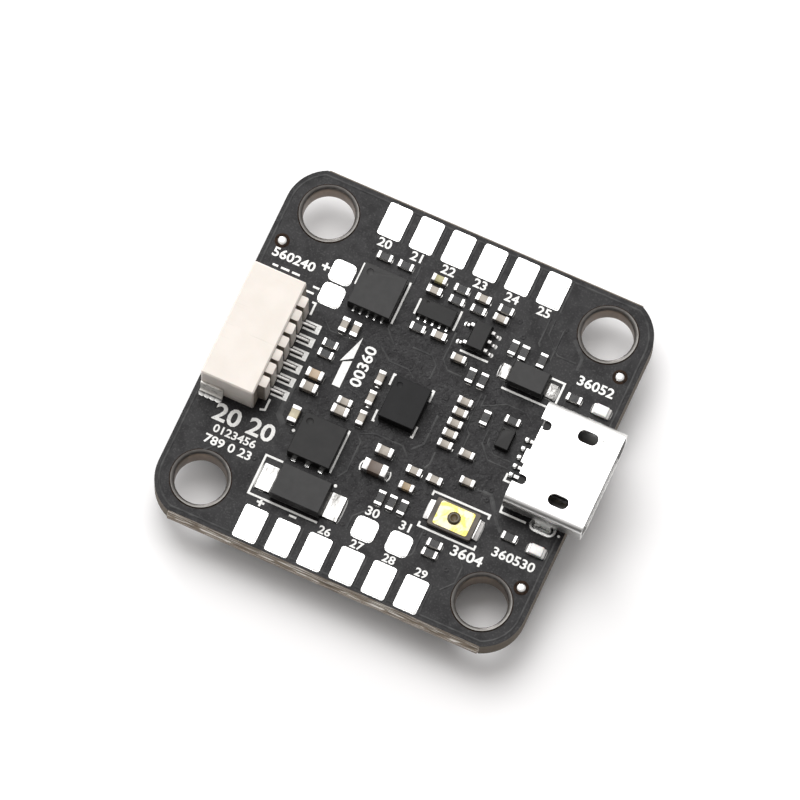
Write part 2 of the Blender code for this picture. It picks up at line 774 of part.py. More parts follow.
def make_sensor_regulator(finish):
    """The small five-lead regulator near the front pads."""
    rows = {0: evenly(3, REGULATOR_PITCH), 180: evenly(2, 2 * REGULATOR_PITCH)}
    lead = (0.22, 0.1, 0.2)
    name = "sensor_regulator"
    part = leaded_chip(name, REGULATOR_BODY, 0.06, rows, REGULATOR_SPAN, lead, finish)
    part.location = (*REGULATOR_CENTRE, TOP + GAP)


def hang_under(part, centre):
    """Turns a part drawn above z = 0 upside down and hangs it under the board."""
    part.rotation_euler = (math.pi, 0, 0)
    part.location = (*centre, BOTTOM - GAP)


def make_processor(finish):
    """The processor on the underside, with sixteen leads on each side."""
    row = evenly(PROCESSOR_LEADS_A_SIDE, PROCESSOR_PITCH)
    rows = {angle: row for angle in (0, 90, 180, 270)}
    lead = (0.22, 0.14, 0.5)
    name = "main_processor"
    part = leaded_chip(name, PROCESSOR_BODY, 0.1, rows, PROCESSOR_SPAN, lead, finish)
    hang_under(part, PROCESSOR_CENTRE)


def make_crystal(finish):
    """The clock crystal in its seam-welded can."""
    width, depth, height = CRYSTAL_SIZE
    base = rounded_rectangle(width, depth, 0.15, steps=2)
    lid = rounded_rectangle(width - 0.3, depth - 0.3, 0.25, steps=2)
    lip = height * 0.7
    bm = loft([(base, 0), (base, lip), (lid, lip + 0.05), (lid, height)])
    part = add_part("clock_crystal", bm, finish)
    hang_under(part, CRYSTAL_CENTRE)


# ---------------------------------------------------------------- diodes, lamps and passives


def make_flat_diodes(finish):
    """Moulded diodes with a flat lead at each end."""
    for name, x, y, (width, depth), height, lead_width, reach in FLAT_DIODES:
        part = add_part(name, draft_body(width, depth, height, 0.08), finish, (x, y, TOP + GAP))
        solids = []
        for angle in (0, 180):
            lead = [
                (width / 2 - 0.35, 0.0),
                (width / 2 + reach, 0.0),
                (width / 2 + reach, LEAD_SHEET),
                (width / 2 + 0.1, LEAD_SHEET),
                (width / 2 - 0.05, 0.5),
                (width / 2 - 0.35, 0.5),
            ]
            bm = along_y(lead, -lead_width / 2, lead_width / 2)
            bmesh.ops.recalc_face_normals(bm, faces=bm.faces)
            solids.append(spin_solid(bm, angle))
        weld(part, solids)


def make_lamps(finish):
    """The two indicator lamps: a base with end pads and a rounded lens."""
    width, depth, height = LAMP_SIZE
    for name, x, y in LAMPS:
        base = rounded_rectangle(width, depth, 0.04, steps=1)
        lens = rounded_rectangle(width * 0.72, depth, 0.04, steps=1)
        crown = rounded_rectangle(width * 0.64, depth * 0.88, 0.04, steps=1)
        step = height * 0.45
        levels = (0, step, step + 0.02, height - 0.05, height)
        bm = loft(list(zip((base, base, lens, lens, crown), levels)))
        add_part(name, bm, finish, (x, y, TOP + GAP))


def passive_body(length, width, height):
    """A chip component: a block between two end caps that stand slightly proud."""
    proud = 0.02
    cap = length * 0.24
    thick = rectangle(width, height, 0, height / 2)
    thin = rectangle(width - 2 * proud, height - 2 * proud, 0, height / 2)
    a, b = length / 2, length / 2 - cap
    places = (-a, -b, -b + 0.01, b - 0.01, b, a)
    bm = loft(list(zip((thick, thick, thin, thin, thick, thick), places)))
    return face_x(bm)


def make_passives(finish):
    """The inductor and the capacitors around the regulator, the sensor and the processor."""
    passives = list(CHIP_PASSIVES)
    for number, y in enumerate(BANK_Y, 1):
        passives.append((f"bank_capacitor_{number}", BANK_X, y, 1.0, 0.5, 0.5, False))
    for name, x, y, length, width, height, is_turned in passives:
        part = add_part(name, passive_body(length, width, height), finish, (x, y, TOP + GAP))
        if is_turned:
            part.rotation_euler = (0, 0, math.pi / 2)


# ---------------------------------------------------------------- assembly


def scale_to_metres():
    """Turns the drawing, in millimetres, into metres."""
    shrink = Matrix.Scale(MM, 4)
    for part in bpy.context.scene.objects:
        part.data.transform(shrink)
        part.location = Vector(part.location) * MM


def shade_round_parts():
    """Smooth shading, with creases kept, on the turned parts."""
    for part in bpy.context.scene.objects:
        if part.name.startswith(("hole_barrel", "boot_switch_dome", "boot_switch_plunger", "usb_shell")):
            part.data.shade_smooth()
            part.data.set_sharp_from_angle(angle=math.radians(35))


def main():
    for old in list(bpy.data.objects):
        bpy.data.objects.remove(old)
    finishes = make_materials()
    make_laminate(finishes["solder_mask"])
    make_hole_barrels(finishes["tin"])
    make_usb_shell(finishes["steel"])
    make_usb_insulator(finishes["black_moulding"])
    make_usb_contacts(finishes["gold"])
    make_socket_housing(finishes["ivory_moulding"])
    make_socket_pins(finishes["tin"])
    make_socket_anchors(finishes["tin"])
    make_switch_base(finishes["black_moulding"])
    make_switch_dome(finishes["steel"])
    make_switch_cover(finishes["amber_film"])
    make_switch_plunger(finishes["black_moulding"])
    make_switch_terminals(finishes["tin"])
    make_flat_chips(finishes["black_moulding"])
    make_sensor_regulator(finishes["black_moulding"])
    make_flat_diodes(finishes["black_moulding"])
    make_lamps(finishes["lamp_lens"])
    make_passives(finishes["ceramic"])
    make_processor(finishes["black_moulding"])
    make_crystal(finishes["steel"])
    shade_round_parts()
    scale_to_metres()


main()
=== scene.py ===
# Looks of the flight controller board: finishes, solder, ink, the small chip parts and a plain studio.
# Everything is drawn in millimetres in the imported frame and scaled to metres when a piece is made.

import math
import random

import bmesh
import bpy
from mathutils import Matrix, Vector


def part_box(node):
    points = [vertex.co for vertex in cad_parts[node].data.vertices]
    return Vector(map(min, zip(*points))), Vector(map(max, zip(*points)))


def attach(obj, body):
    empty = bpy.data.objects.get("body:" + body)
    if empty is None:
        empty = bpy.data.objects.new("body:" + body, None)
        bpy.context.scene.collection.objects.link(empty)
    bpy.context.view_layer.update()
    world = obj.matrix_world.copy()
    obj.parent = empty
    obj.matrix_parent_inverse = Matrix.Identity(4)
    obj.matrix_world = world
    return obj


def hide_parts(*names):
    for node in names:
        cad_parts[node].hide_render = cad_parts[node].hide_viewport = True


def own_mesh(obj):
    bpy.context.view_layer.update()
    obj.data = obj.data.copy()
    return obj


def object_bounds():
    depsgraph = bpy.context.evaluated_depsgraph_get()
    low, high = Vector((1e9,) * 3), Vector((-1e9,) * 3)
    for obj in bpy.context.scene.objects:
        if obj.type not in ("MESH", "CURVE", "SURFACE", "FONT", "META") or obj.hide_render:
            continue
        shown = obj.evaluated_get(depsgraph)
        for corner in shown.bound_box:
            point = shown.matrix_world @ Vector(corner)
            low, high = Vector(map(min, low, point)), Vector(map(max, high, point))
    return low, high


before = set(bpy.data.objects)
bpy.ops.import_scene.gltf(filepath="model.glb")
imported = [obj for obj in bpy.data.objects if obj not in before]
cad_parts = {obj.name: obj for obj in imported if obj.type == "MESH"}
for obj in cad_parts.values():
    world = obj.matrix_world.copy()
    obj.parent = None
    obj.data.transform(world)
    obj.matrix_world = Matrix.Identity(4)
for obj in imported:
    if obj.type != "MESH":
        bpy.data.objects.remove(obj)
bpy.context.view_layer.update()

MM = 0.001
CLEARANCE = 0.02  # the CAD parts stand this far off the laminate
LIFT = 0.002  # solder stands this far off the mask, so that no two faces lie in one plane


def box_mm(node):
    """Lowest and highest corner of a CAD node, in millimetres."""
    low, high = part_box(node)
    return low / MM, high / MM


def place_mm(node):
    """Lowest corner, highest corner and middle of a CAD node, in millimetres."""
    low, high = box_mm(node)
    return low, high, (low + high) / 2


TOP = box_mm("motion_sensor")[0].z - CLEARANCE
ON_MASK = TOP + LIFT
FLUSH = TOP + LIFT / 2
BOARD_LOW, BOARD_HIGH = box_mm("pcb_laminate")
HOLE_NAMES = ("front_left", "front_right", "rear_left", "rear_right")
HOLES = [place_mm("hole_barrel_" + name)[2] for name in HOLE_NAMES]
HOLE_REACH = HOLES[1].x
CORNER_RADIUS = BOARD_HIGH.x - HOLE_REACH
SCORE_OUT = 0.25  # how far the snapped web stands out in front of the cut edge
FRONT_EDGE = BOARD_HIGH.y - SCORE_OUT
REAR_EDGE = BOARD_LOW.y + SCORE_OUT


# ---------------------------------------------------------------- finishes


WAVE_PERIOD = 0.314  # distance between the bands of a wave texture of scale 1


class Graph:
    """A node tree; the inputs of its nodes take values or other nodes' outputs."""

    def __init__(self, owner):
        owner.use_nodes = True
        self.tree = owner.node_tree

    def add(self, kind, inputs=None, **settings):
        """A new node."""
        made = self.tree.nodes.new(kind)
        for key, value in settings.items():
            setattr(made, key, value)
        for key, value in (inputs or {}).items():
            self.feed(made.inputs[key], value)
        return made

    def feed(self, socket, value):
        """Gives an input a value or another node's output."""
        if isinstance(value, bpy.types.NodeSocket):
            self.tree.links.new(value, socket)
        else:
            socket.default_value = value


class Finish(Graph):
    """A Principled material whose patterns are laid out in millimetres."""

    def __init__(self, name, metallic=0.0):
        self.material = bpy.data.materials.new(name)
        super().__init__(self.material)
        self.shader = self.tree.nodes["Principled BSDF"]
        self.last_relief = None
        self.set("Metallic", metallic)
        metres = self.add("ShaderNodeTexCoord").outputs["Object"]
        scaled = self.add("ShaderNodeVectorMath", {0: metres, "Scale": 1 / MM}, operation="SCALE")
        self.place = scaled.outputs[0]

    def set(self, name, value):
        """Feeds an input of the shader."""
        self.feed(self.shader.inputs[name], value)

    def stretched(self, stretch):
        """The place in the piece, squeezed so that a pattern runs long where stretch is above 1."""
        shrink = [1 / amount for amount in stretch]
        return self.add("ShaderNodeVectorMath", {0: self.place, 1: shrink}, operation="MULTIPLY").outputs[0]

    def noise(self, size, detail, stretch=(1, 1, 1), distortion=0.0):
        """Cloudy noise, 0 to 1, with features of about size millimetres."""
        inputs = {
            "Vector": self.stretched(stretch),
            "Scale": 1 / size,
            "Detail": detail,
            "Distortion": distortion,
        }
        return self.add("ShaderNodeTexNoise", inputs).outputs["Fac"]

    def cells(self, size):
        """Distance to scattered points about size millimetres apart."""
        inputs = {"Vector": self.place, "Scale": 1 / size}
        return self.add("ShaderNodeTexVoronoi", inputs).outputs["Distance"]

    def bands(self, size, axis, distortion):
        """Parallel bands, size millimetres apart along an axis."""
        inputs = {"Vector": self.place, "Scale": WAVE_PERIOD / size, "Distortion": distortion}
        return self.add("ShaderNodeTexWave", inputs, bands_direction=axis).outputs["Fac"]

    def depth(self):
        """Distance from the middle of the board's thickness, in millimetres."""
        split = self.add("ShaderNodeSeparateXYZ", {0: self.place})
        return self.add("ShaderNodeMath", {0: split.outputs["Z"]}, operation="ABSOLUTE").outputs[0]

    def length_from_middle(self):
        """Distance from the board's middle, in millimetres."""
        return self.add("ShaderNodeVectorMath", {0: self.place}, operation="LENGTH").outputs["Value"]

    def ramp(self, value, *stops):
        """A colour ramp through (position, grey or colour) stops."""
        made = self.add("ShaderNodeValToRGB", {"Fac": value})
        bar = made.color_ramp.elements
        while len(bar) < len(stops):
            bar.new(0.5)
        for element, (position, shade) in zip(bar, stops):
            element.position = position
            rgb = shade if isinstance(shade, tuple) else (shade,) * 3
            element.color = (*rgb, 1.0)
        return made.outputs["Color"]

    def mix(self, share, first, second):
        """A colour between two colours."""
        made = self.add("ShaderNodeMix", data_type="RGBA")
        for index, value in ((0, share), (6, first), (7, second)):
            colour = (*value, 1.0) if isinstance(value, tuple) else value
            self.feed(made.inputs[index], colour)
        return made.outputs[2]

    def patches(self, size, detail, start, full, **shape):
        """Patches with soft edges: 0 where the noise is below start, 1 where it is above full."""
        return self.ramp(self.noise(size, detail, **shape), (start, 0.0), (full, 1.0))

    def clouds(self, size, detail, first, second, full=0.7, **shape):
        """A colour that drifts between two tones in soft clouds."""
        return self.mix(self.patches(size, detail, 0.35, full, **shape), first, second)

    def tint(self, share, first, second):
        """Colours the surface between two colours."""
        self.set("Base Color", self.mix(share, first, second))

    def gloss(self, size, detail, low, high, stretch=(1, 1, 1)):
        """Makes the roughness wander between low and high."""
        self.set("Roughness", self.between(self.noise(size, detail, stretch), low, high))

    def sum(self, first, second):
        """Two values added."""
        return self.add("ShaderNodeMath", {0: first, 1: second}).outputs[0]

    def product(self, first, second):
        """Two values multiplied."""
        return self.add("ShaderNodeMath", {0: first, 1: second}, operation="MULTIPLY").outputs[0]

    def between(self, value, low, high):
        """A value from 0 to 1 spread over low to high."""
        return self.add("ShaderNodeMapRange", {"Value": value, "To Min": low, "To Max": high}).outputs[0]

    def relief(self, height, depth):
        """A bump whose full height is depth millimetres, laid over those before it."""
        inputs = {"Height": height, "Distance": depth * MM}
        if self.last_relief:
            inputs["Normal"] = self.last_relief
        self.last_relief = self.add("ShaderNodeBump", inputs).outputs["Normal"]
        self.set("Normal", self.last_relief)


def grained(name, tones, roughness, blotch, depth, sheen):
    """A finish that drifts between two tones, with a fine grain in its gloss and its relief."""
    finish = Finish(name)
    finish.set("Base Color", finish.clouds(blotch, 4.0, *tones, 0.65))
    fine = finish.noise(0.035, 4.0)
    finish.set("Roughness", finish.between(fine, *roughness))
    finish.set("Specular IOR Level", sheen)
    finish.relief(fine, depth)
    return finish


def mask_finish():
    """Charcoal solder mask: satin, with a faint weave of the glass cloth below and residue in patches."""
    finish = Finish("solder_mask")
    speck = finish.patches(0.12, 5.0, 0.52, 0.8)
    tone = finish.clouds(2.4, 5.0, (0.0085, 0.008, 0.009), (0.0115, 0.0108, 0.012))
    finish.tint(finish.product(speck, 0.6), tone, (0.07, 0.07, 0.07))
    patch = finish.patches(1.1, 6.0, 0.45, 0.62, distortion=0.8)
    finish.set("Roughness", finish.between(patch, 0.33, 0.46))
    away = finish.product(finish.length_from_middle(), 0.11)  # reaches 1 at 9 mm
    busy = finish.ramp(away, (0.72, 1.0), (1.0, 0.04))
    residue = finish.product(finish.noise(0.4, 6.0, distortion=1.2), busy)
    cloth = finish.product(finish.bands(0.42, "X", 0.6), finish.bands(0.42, "Y", 0.6))
    finish.relief(cloth, 0.0015)
    finish.relief(residue, 0.052)
    finish.relief(finish.noise(0.05, 2.0), 0.0015)
    finish.set("Specular IOR Level", 0.17)
    return finish


def covered_copper_finish():
    """Mask that lies over copper: a shade lighter and smoother than the rest."""
    finish = Finish("mask_over_copper")
    finish.set("Base Color", finish.clouds(0.7, 4.0, (0.012, 0.012, 0.013), (0.05, 0.05, 0.05)))
    finish.gloss(0.2, 4.0, 0.3, 0.42)
    finish.set("Specular IOR Level", 0.22)
    finish.relief(finish.noise(0.06, 3.0), 0.002)
    return finish


def laminate_finish():
    """The cut edge of the laminate: brown glass-epoxy between two dark mask lips."""
    finish = Finish("laminate_edge")
    finish.set("Roughness", 0.8)
    ragged = finish.sum(finish.depth(), finish.between(finish.noise(0.12, 4.0), -0.05, 0.05))
    cloth = finish.clouds(0.12, 4.0, (0.095, 0.075, 0.055), (0.14, 0.115, 0.085), 0.65, stretch=(14, 14, 0.5))
    lip = finish.ramp(ragged, (0.7, 0.0), (0.74, 1.0))
    finish.tint(lip, cloth, (0.03, 0.03, 0.032))
    finish.relief(finish.noise(0.06, 4.0, (4, 4, 1)), 0.02)
    return finish


def fibre_finish():
    """Torn glass fibre where the board was snapped from its panel."""
    finish = Finish("torn_fibre")
    finish.set("Roughness", 0.85)
    strands = finish.noise(0.09, 5.0, (16, 4, 0.7), distortion=0.3)
    tones = ((0.35, (0.16, 0.13, 0.1)), (0.56, (0.34, 0.285, 0.225)), (0.62, (0.92, 0.89, 0.84)))
    finish.set("Base Color", finish.ramp(strands, *tones))
    finish.relief(strands, 0.05)
    return finish


def metal_finish(name, tone, roughness, wander, depth, stretch=(1, 1, 1)):
    """Bright metal with a slow wander in its surface and fine dulling."""
    finish = Finish(name, 1.0)
    dark = tuple(channel * 0.82 for channel in tone)
    dull = finish.patches(0.3, 5.0, 0.42, 0.75, stretch=stretch)
    finish.tint(dull, tone, dark)
    finish.gloss(0.09, 4.0, *roughness, stretch)
    finish.relief(finish.noise(wander, 2.0, stretch), depth)
    finish.relief(finish.noise(0.03, 3.0, stretch), depth * 0.1)
    return finish


def wetted_finish(name, clean, grey, metallic):
    """Solder that has flowed over a terminal: bright, with grey streaks along the terminal painted in as dark
    reflections.
    """
    finish = Finish(name, metallic)
    dark_reflection_streak = finish.patches(0.45, 2.0, 0.5, 0.7, stretch=(1, 3, 1))
    # painted reflection: grey streaks that stand for dark reflections on the metal
    finish.tint(dark_reflection_streak, clean, grey)
    finish.gloss(0.09, 4.0, 0.16, 0.34)
    finish.relief(finish.noise(0.45, 2.0), 0.05)
    finish.relief(finish.noise(0.03, 3.0), 0.005)
    return finish


def ring_finish():
    """Tarnished plating of the mounting holes: grey on the rim, browner down the barrel."""
    finish = Finish("ring_metal", 1.0)
    ragged = finish.sum(finish.depth(), finish.between(finish.noise(0.5, 3.0), -0.12, 0.12))
    rim = finish.mix(finish.noise(0.6, 4.0), (0.17, 0.165, 0.16), (0.07, 0.064, 0.058))
    barrel = finish.mix(finish.noise(0.5, 4.0, (1, 1, 4)), (0.25, 0.175, 0.12), (0.12, 0.098, 0.08))
    finish.tint(finish.ramp(ragged, (0.62, 0.0), (0.8, 1.0)), barrel, rim)
    finish.gloss(0.12, 4.0, 0.22, 0.42)
    finish.relief(finish.noise(0.3, 3.0, (1, 1, 3)), 0.006)
    return finish


def ivory_finish():
    """Ivory nylon: matt, with flow clouds and a few handling scratches."""
    finish = Finish("ivory_nylon")
    tone = finish.clouds(1.8, 3.0, (0.75, 0.7, 0.65), (0.7, 0.65, 0.595))
    scratch = finish.patches(0.5, 5.0, 0.66, 0.72, stretch=(9, 0.35, 1))
    finish.tint(finish.product(scratch, 0.25), tone, (0.55, 0.52, 0.46))
    finish.gloss(0.08, 4.0, 0.42, 0.6)
    finish.relief(finish.noise(0.08, 4.0), 0.003)
    finish.relief(scratch, -0.004)
    finish.set("Subsurface Weight", 0.05)
    finish.set("Subsurface Scale", 0.0002)
    return finish


def ceramic_finish(name, tone):
    """Sintered capacitor ceramic: speckled, with a dull glaze."""
    finish = Finish(name)
    speck = finish.ramp(finish.cells(0.05), (0.1, 1.0), (0.5, 0.0))
    light = tuple(min(1.0, channel * 1.25) for channel in tone)
    dark = tuple(channel * 0.8 for channel in tone)
    cloud = finish.mix(finish.noise(0.3, 3.0), dark, light)
    finish.tint(finish.product(speck, 0.3), cloud, dark)
    finish.gloss(0.1, 3.0, 0.32, 0.55)
    finish.relief(finish.noise(0.05, 4.0), 0.003)
    return finish


def film_finish():
    """Amber film pulled tight over the switch: glossy, with pale slanting reflections painted into its
    colour.
    """
    finish = Finish("amber_film")
    painted_reflection = finish.patches(0.95, 2.0, 0.47, 0.6, distortion=0.8)
    stain = finish.patches(0.35, 4.0, 0.45, 0.75)
    # painted reflection: pale slanting bands mixed into the amber
    tone = finish.mix(painted_reflection, (0.84, 0.69, 0.01), (0.97, 0.86, 0.5))
    finish.tint(finish.product(stain, 0.3), tone, (0.8, 0.62, 0.03))
    finish.gloss(0.15, 3.0, 0.14, 0.3)
    finish.relief(finish.noise(0.5, 2.0, distortion=0.6), 0.015)
    finish.set("Coat Weight", 0.6)
    return finish


def lens_finish():
    """Milky cast lens of the lamps."""
    finish = Finish("lamp_lens")
    finish.set("Base Color", finish.clouds(0.4, 3.0, (0.84, 0.84, 0.83), (0.74, 0.74, 0.72)))
    finish.set("Subsurface Weight", 0.15)
    finish.set("Subsurface Scale", 0.0001)
    finish.gloss(0.08, 3.0, 0.2, 0.36)
    finish.relief(finish.noise(0.1, 3.0), 0.004)
    finish.set("Coat Weight", 0.3)
    return finish


def ink_finish():
    """White legend ink, worn thin in places."""
    finish = Finish("legend_ink")
    worn = finish.patches(0.16, 5.0, 0.52, 0.78)
    finish.tint(finish.product(worn, 0.55), (0.88, 0.88, 0.86), (0.42, 0.42, 0.42))
    finish.set("Roughness", finish.between(worn, 0.5, 0.75))
    finish.relief(finish.noise(0.07, 3.0), 0.006)
    return finish


# Metals: colour, roughness range, then the size and depth of the wander and its stretch
METALS = {
    "pad_tin": ((0.93, 0.93, 0.92), (0.2, 0.34), 0.7, 0.006),
    "solder": ((0.8, 0.8, 0.79), (0.14, 0.32), 0.18, 0.012),
    "lead_tin": ((0.72, 0.71, 0.7), (0.3, 0.5), 0.3, 0.008),
    # painted shade: a darker tin for the socket pins in the gaps between the fins, used on the USB contact
    # tails too
    "pin_tin_painted_shade": ((0.42, 0.41, 0.4), (0.25, 0.45), 0.2, 0.008),
    "steel": ((0.9, 0.9, 0.89), (0.24, 0.36), 0.8, 0.003, (6, 1, 1)),
    "gold": ((0.83, 0.62, 0.28), (0.18, 0.3), 0.3, 0.002),
}
# Ceramics: colour
CERAMICS = {
    "beige": (0.33, 0.297, 0.255),
    "tan": (0.31, 0.23, 0.135),
    "peach": (0.45, 0.345, 0.24),
    "cream": (0.53, 0.475, 0.33),
    "olive": (0.36, 0.33, 0.17),
    "ferrite": (0.11, 0.08, 0.062),
}
# Grained finishes: two tones, roughness range, size of the clouds, depth of the grain, sheen
GRAINED = {
    "moulding": (((0.0075, 0.0073, 0.0073), (0.012, 0.0115, 0.0115)), (0.38, 0.55), 0.9, 0.003, 0.235),
    "dark_moulding": (((0.006, 0.006, 0.0065), (0.009, 0.009, 0.0098)), (0.4, 0.58), 0.9, 0.003, 0.165),
    "light_moulding": (((0.013, 0.0127, 0.0128), (0.019, 0.0186, 0.0187)), (0.4, 0.58), 0.7, 0.003, 0.325),
    "grey_moulding": (((0.07, 0.061, 0.052), (0.13, 0.115, 0.1)), (0.35, 0.55), 1.0, 0.002, 0.25),
    "brown_plastic": (((0.09, 0.06, 0.02), (0.05, 0.035, 0.015)), (0.25, 0.4), 0.4, 0.002, 0.25),
    "rim_plastic": (((0.1, 0.085, 0.06), (0.15, 0.13, 0.1)), (0.25, 0.4), 0.4, 0.002, 0.25),
    # painted shade: a darker ivory for the socket's fin sides and the wall between its fins
    "ivory_painted_shade": (((0.27, 0.235, 0.2), (0.38, 0.335, 0.29)), (0.5, 0.7), 0.5, 0.002, 0.25),
    "glass": (((0.012, 0.012, 0.014), (0.03, 0.03, 0.03)), (0.15, 0.35), 0.3, 0.002, 0.25),
    "alumina": (((0.7, 0.69, 0.66), (0.6, 0.59, 0.56)), (0.5, 0.7), 0.3, 0.002, 0.25),
    "bare": (((0.012, 0.008, 0.006), (0.035, 0.02, 0.012)), (0.5, 0.7), 0.2, 0.002, 0.06),
}


def make_finishes():
    """Every finish of the board, by name."""
    made = {
        "mask": mask_finish(),
        "covered_copper": covered_copper_finish(),
        "edge": laminate_finish(),
        "fibre": fibre_finish(),
        # both wetted finishes carry grey streaks painted in as dark reflections
        "wet_tin": wetted_finish("wet_tin", (0.5, 0.495, 0.485), (0.13, 0.127, 0.122), 1.0),
        "hazed_tin": wetted_finish("hazed_tin", (0.85, 0.83, 0.79), (0.4, 0.38, 0.35), 0.15),
        "ring_metal": ring_finish(),
        "ivory": ivory_finish(),
        "film": film_finish(),
        "lens": lens_finish(),
        "ink": ink_finish(),
    }
    made.update({name: metal_finish(name, *look) for name, look in METALS.items()})
    made.update({name: ceramic_finish(name, tone) for name, tone in CERAMICS.items()})
    made.update({name: grained(name, *look) for name, look in GRAINED.items()})
    return {name: finish.material for name, finish in made.items()}


LOOKS = make_finishes()


# ---------------------------------------------------------------- drawing

WELD_REACH = 1e-7  # in metres: joins only corners that lie in one place
BEVEL_ANGLE = 30  # edges sharper than this are rounded
FLAT_ANGLE = 0.5  # faces that meet at less than this are one face
SMOOTH_ANGLE = 50  # edges sharper than this stay sharp on smooth pieces


def linked(name, data):
    """A new object in the scene."""
    made = bpy.data.objects.new(name, data)
    bpy.context.scene.collection.objects.link(made)
    return made


def arc(cx, cy, radius, start, end, steps):
    """Points along an arc; angles in degrees, both ends included."""
    angles = [math.radians(start + (end - start) * i / steps) for i in range(steps + 1)]
    return [(cx + radius * math.cos(a), cy + radius * math.sin(a)) for a in angles]


def circle(cx, cy, radius, steps):
    """Corners of a round outline, anticlockwise."""
    return arc(cx, cy, radius, 0, 360, steps)[:-1]


def rounded(cx, cy, width, depth, radius, steps=4):
    """Outline of a rectangle with round corners, anticlockwise."""
    x, y = width / 2 - radius, depth / 2 - radius
    return (
        arc(cx + x, cy - y, radius, -90, 0, steps)
        + arc(cx + x, cy + y, radius, 0, 90, steps)
        + arc(cx - x, cy + y, radius, 90, 180, steps)
        + arc(cx - x, cy - y, radius, 180, 270, steps)
    )


def skin(bm, rings, capped=True, looped=False):
    """Faces between rings of points that hold equal numbers of corners; returns the faces."""
    rows = [[bm.verts.new(point) for point in ring] for ring in rings]
    faces = []
    pairs = zip(rows, rows[1:] + rows[:1]) if looped else zip(rows, rows[1:])
    for lower, upper in pairs:
        for i in range(len(lower)):
            j = (i + 1) % len(lower)
            faces.append(bm.faces.new((lower[i], lower[j], upper[j], upper[i])))
    if capped:
        faces.append(bm.faces.new(rows[0][::-1]))
        faces.append(bm.faces.new(rows[-1]))
    return faces


def stack(bm, sections):
    """Adds a solid through (outline, height) sections."""
    return skin(bm, [[(x, y, z) for x, y in outline] for outline, z in sections])


def lathe(x, y, profile, steps):
    """Rings of a round solid about an upright axis; profile lists (radius, height)."""
    return [[(*point, z) for point in circle(x, y, radius, steps)] for radius, z in profile]


def block(bm, low, high, ease):
    """Adds a box whose top is narrower by ease on each side."""
    x0, y0, z0 = low
    x1, y1, z1 = high
    wide = [(x0, y0), (x1, y0), (x1, y1), (x0, y1)]
    thin = [(x0 + ease, y0 + ease), (x1 - ease, y0 + ease), (x1 - ease, y1 - ease), (x0 + ease, y1 - ease)]
    return stack(bm, [(wide, z0), (thin, z1)])


TIGHTEST_MITRE = 0.35  # keeps the outer side of a sharp corner from running far out


def sweep(bm, points, section, closed=False):
    """Adds a solid along flat points. section lists (offset to the left, height) round its outline."""
    count = len(points)
    rings = []
    for i, point in enumerate(points):
        here = Vector(point)
        before = Vector(points[i - 1]) if closed or i > 0 else None
        after = Vector(points[(i + 1) % count]) if closed or i < count - 1 else None
        into = (here - before).normalized() if before else (after - here).normalized()
        out = (after - here).normalized() if after else into
        side = Vector((-(into.y + out.y), into.x + out.x)).normalized()
        reach = 1 / max(TIGHTEST_MITRE, side.dot(Vector((-into.y, into.x))))
        rings.append([(here.x + side.x * reach * s, here.y + side.y * reach * s, z) for s, z in section])
    return skin(bm, rings, not closed, closed)


def strip(bm, points, width, low, high, slope, closed=False):
    """Adds a raised line; its top is narrower than its foot by slope on each side."""
    foot, crest = width / 2, width / 2 - slope
    return sweep(bm, points, [(foot, low), (-foot, low), (-crest, high), (crest, high)], closed)


def disc(bm, x, y, radius, low, high, ease, steps):
    """Adds a round plate whose top is narrower by ease all round."""
    return skin(bm, lathe(x, y, ((radius, low), (radius - ease, high)), steps))


def hoop(bm, outline, width, low, high, slope=0.01):
    """Adds a flat ring of the given width along a closed outline."""
    return strip(bm, outline, width, low, high, slope, closed=True)


MOUND = ((0.0, 0.0), (0.03, 0.45), (0.1, 0.72), (0.24, 0.9), (0.42, 1.0))  # inset share, height share


def mound(bm, x, y, width, depth, radius, low, high):
    """Adds a pad of solder with a gently domed top."""
    half = min(width, depth) / 2
    sections = []
    for inset, share in MOUND:
        step = inset * half
        corner = max(radius - step, 0.05)
        outline = rounded(x, y, width - 2 * step, depth - 2 * step, corner)
        sections.append((outline, low + (high - low) * share))
    return stack(bm, sections)


FILLET_STEPS = 4
# Sections of a fillet: place along its width, size share
FILLET_SECTIONS = ((-0.5, 0.35), (-0.36, 0.85), (-0.15, 1.0), (0.15, 1.0), (0.36, 0.85), (0.5, 0.35))


def fillet(bm, x, y, width, reach, rise, angle):
    """Adds a hollow-faced solder fillet that climbs a wall; angle says which way it spreads."""
    profile = [(0.0, 0.0), (reach, 0.0)]
    for i in range(1, FILLET_STEPS + 1):
        share = i / FILLET_STEPS
        profile.append((reach * (1 - share) ** 1.7, rise * share**1.5))
    turn = Matrix.Rotation(math.radians(angle), 2)
    rings = []
    for place, size in FILLET_SECTIONS:
        ring = []
        for out, up in profile:
            flat = turn @ Vector((out * size, place * width))
            ring.append((x + flat.x, y + flat.y, ON_MASK + up * (0.45 + 0.55 * size)))
        rings.append(ring)
    return skin(bm, rings)


def add_piece(name, bm, looks, under=False, rounding=0.0, smooth=False, body="board"):
    """Turns a millimetre bmesh into a piece that rides on a body; under hangs it below the board."""
    if under:
        bmesh.ops.transform(bm, matrix=Matrix.Rotation(math.pi, 4, "X"), verts=bm.verts)
    bmesh.ops.transform(bm, matrix=Matrix.Scale(MM, 4), verts=bm.verts)
    bmesh.ops.recalc_face_normals(bm, faces=bm.faces)
    mesh = bpy.data.meshes.new(name)
    bm.to_mesh(mesh)
    bm.free()
    for look in looks:
        mesh.materials.append(LOOKS[look])
    if smooth:
        mesh.shade_smooth()
        mesh.set_sharp_from_angle(angle=math.radians(SMOOTH_ANGLE))
    piece = linked(name, mesh)
    if rounding:
        round_edges(piece, rounding)
    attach(piece, body)
    return piece


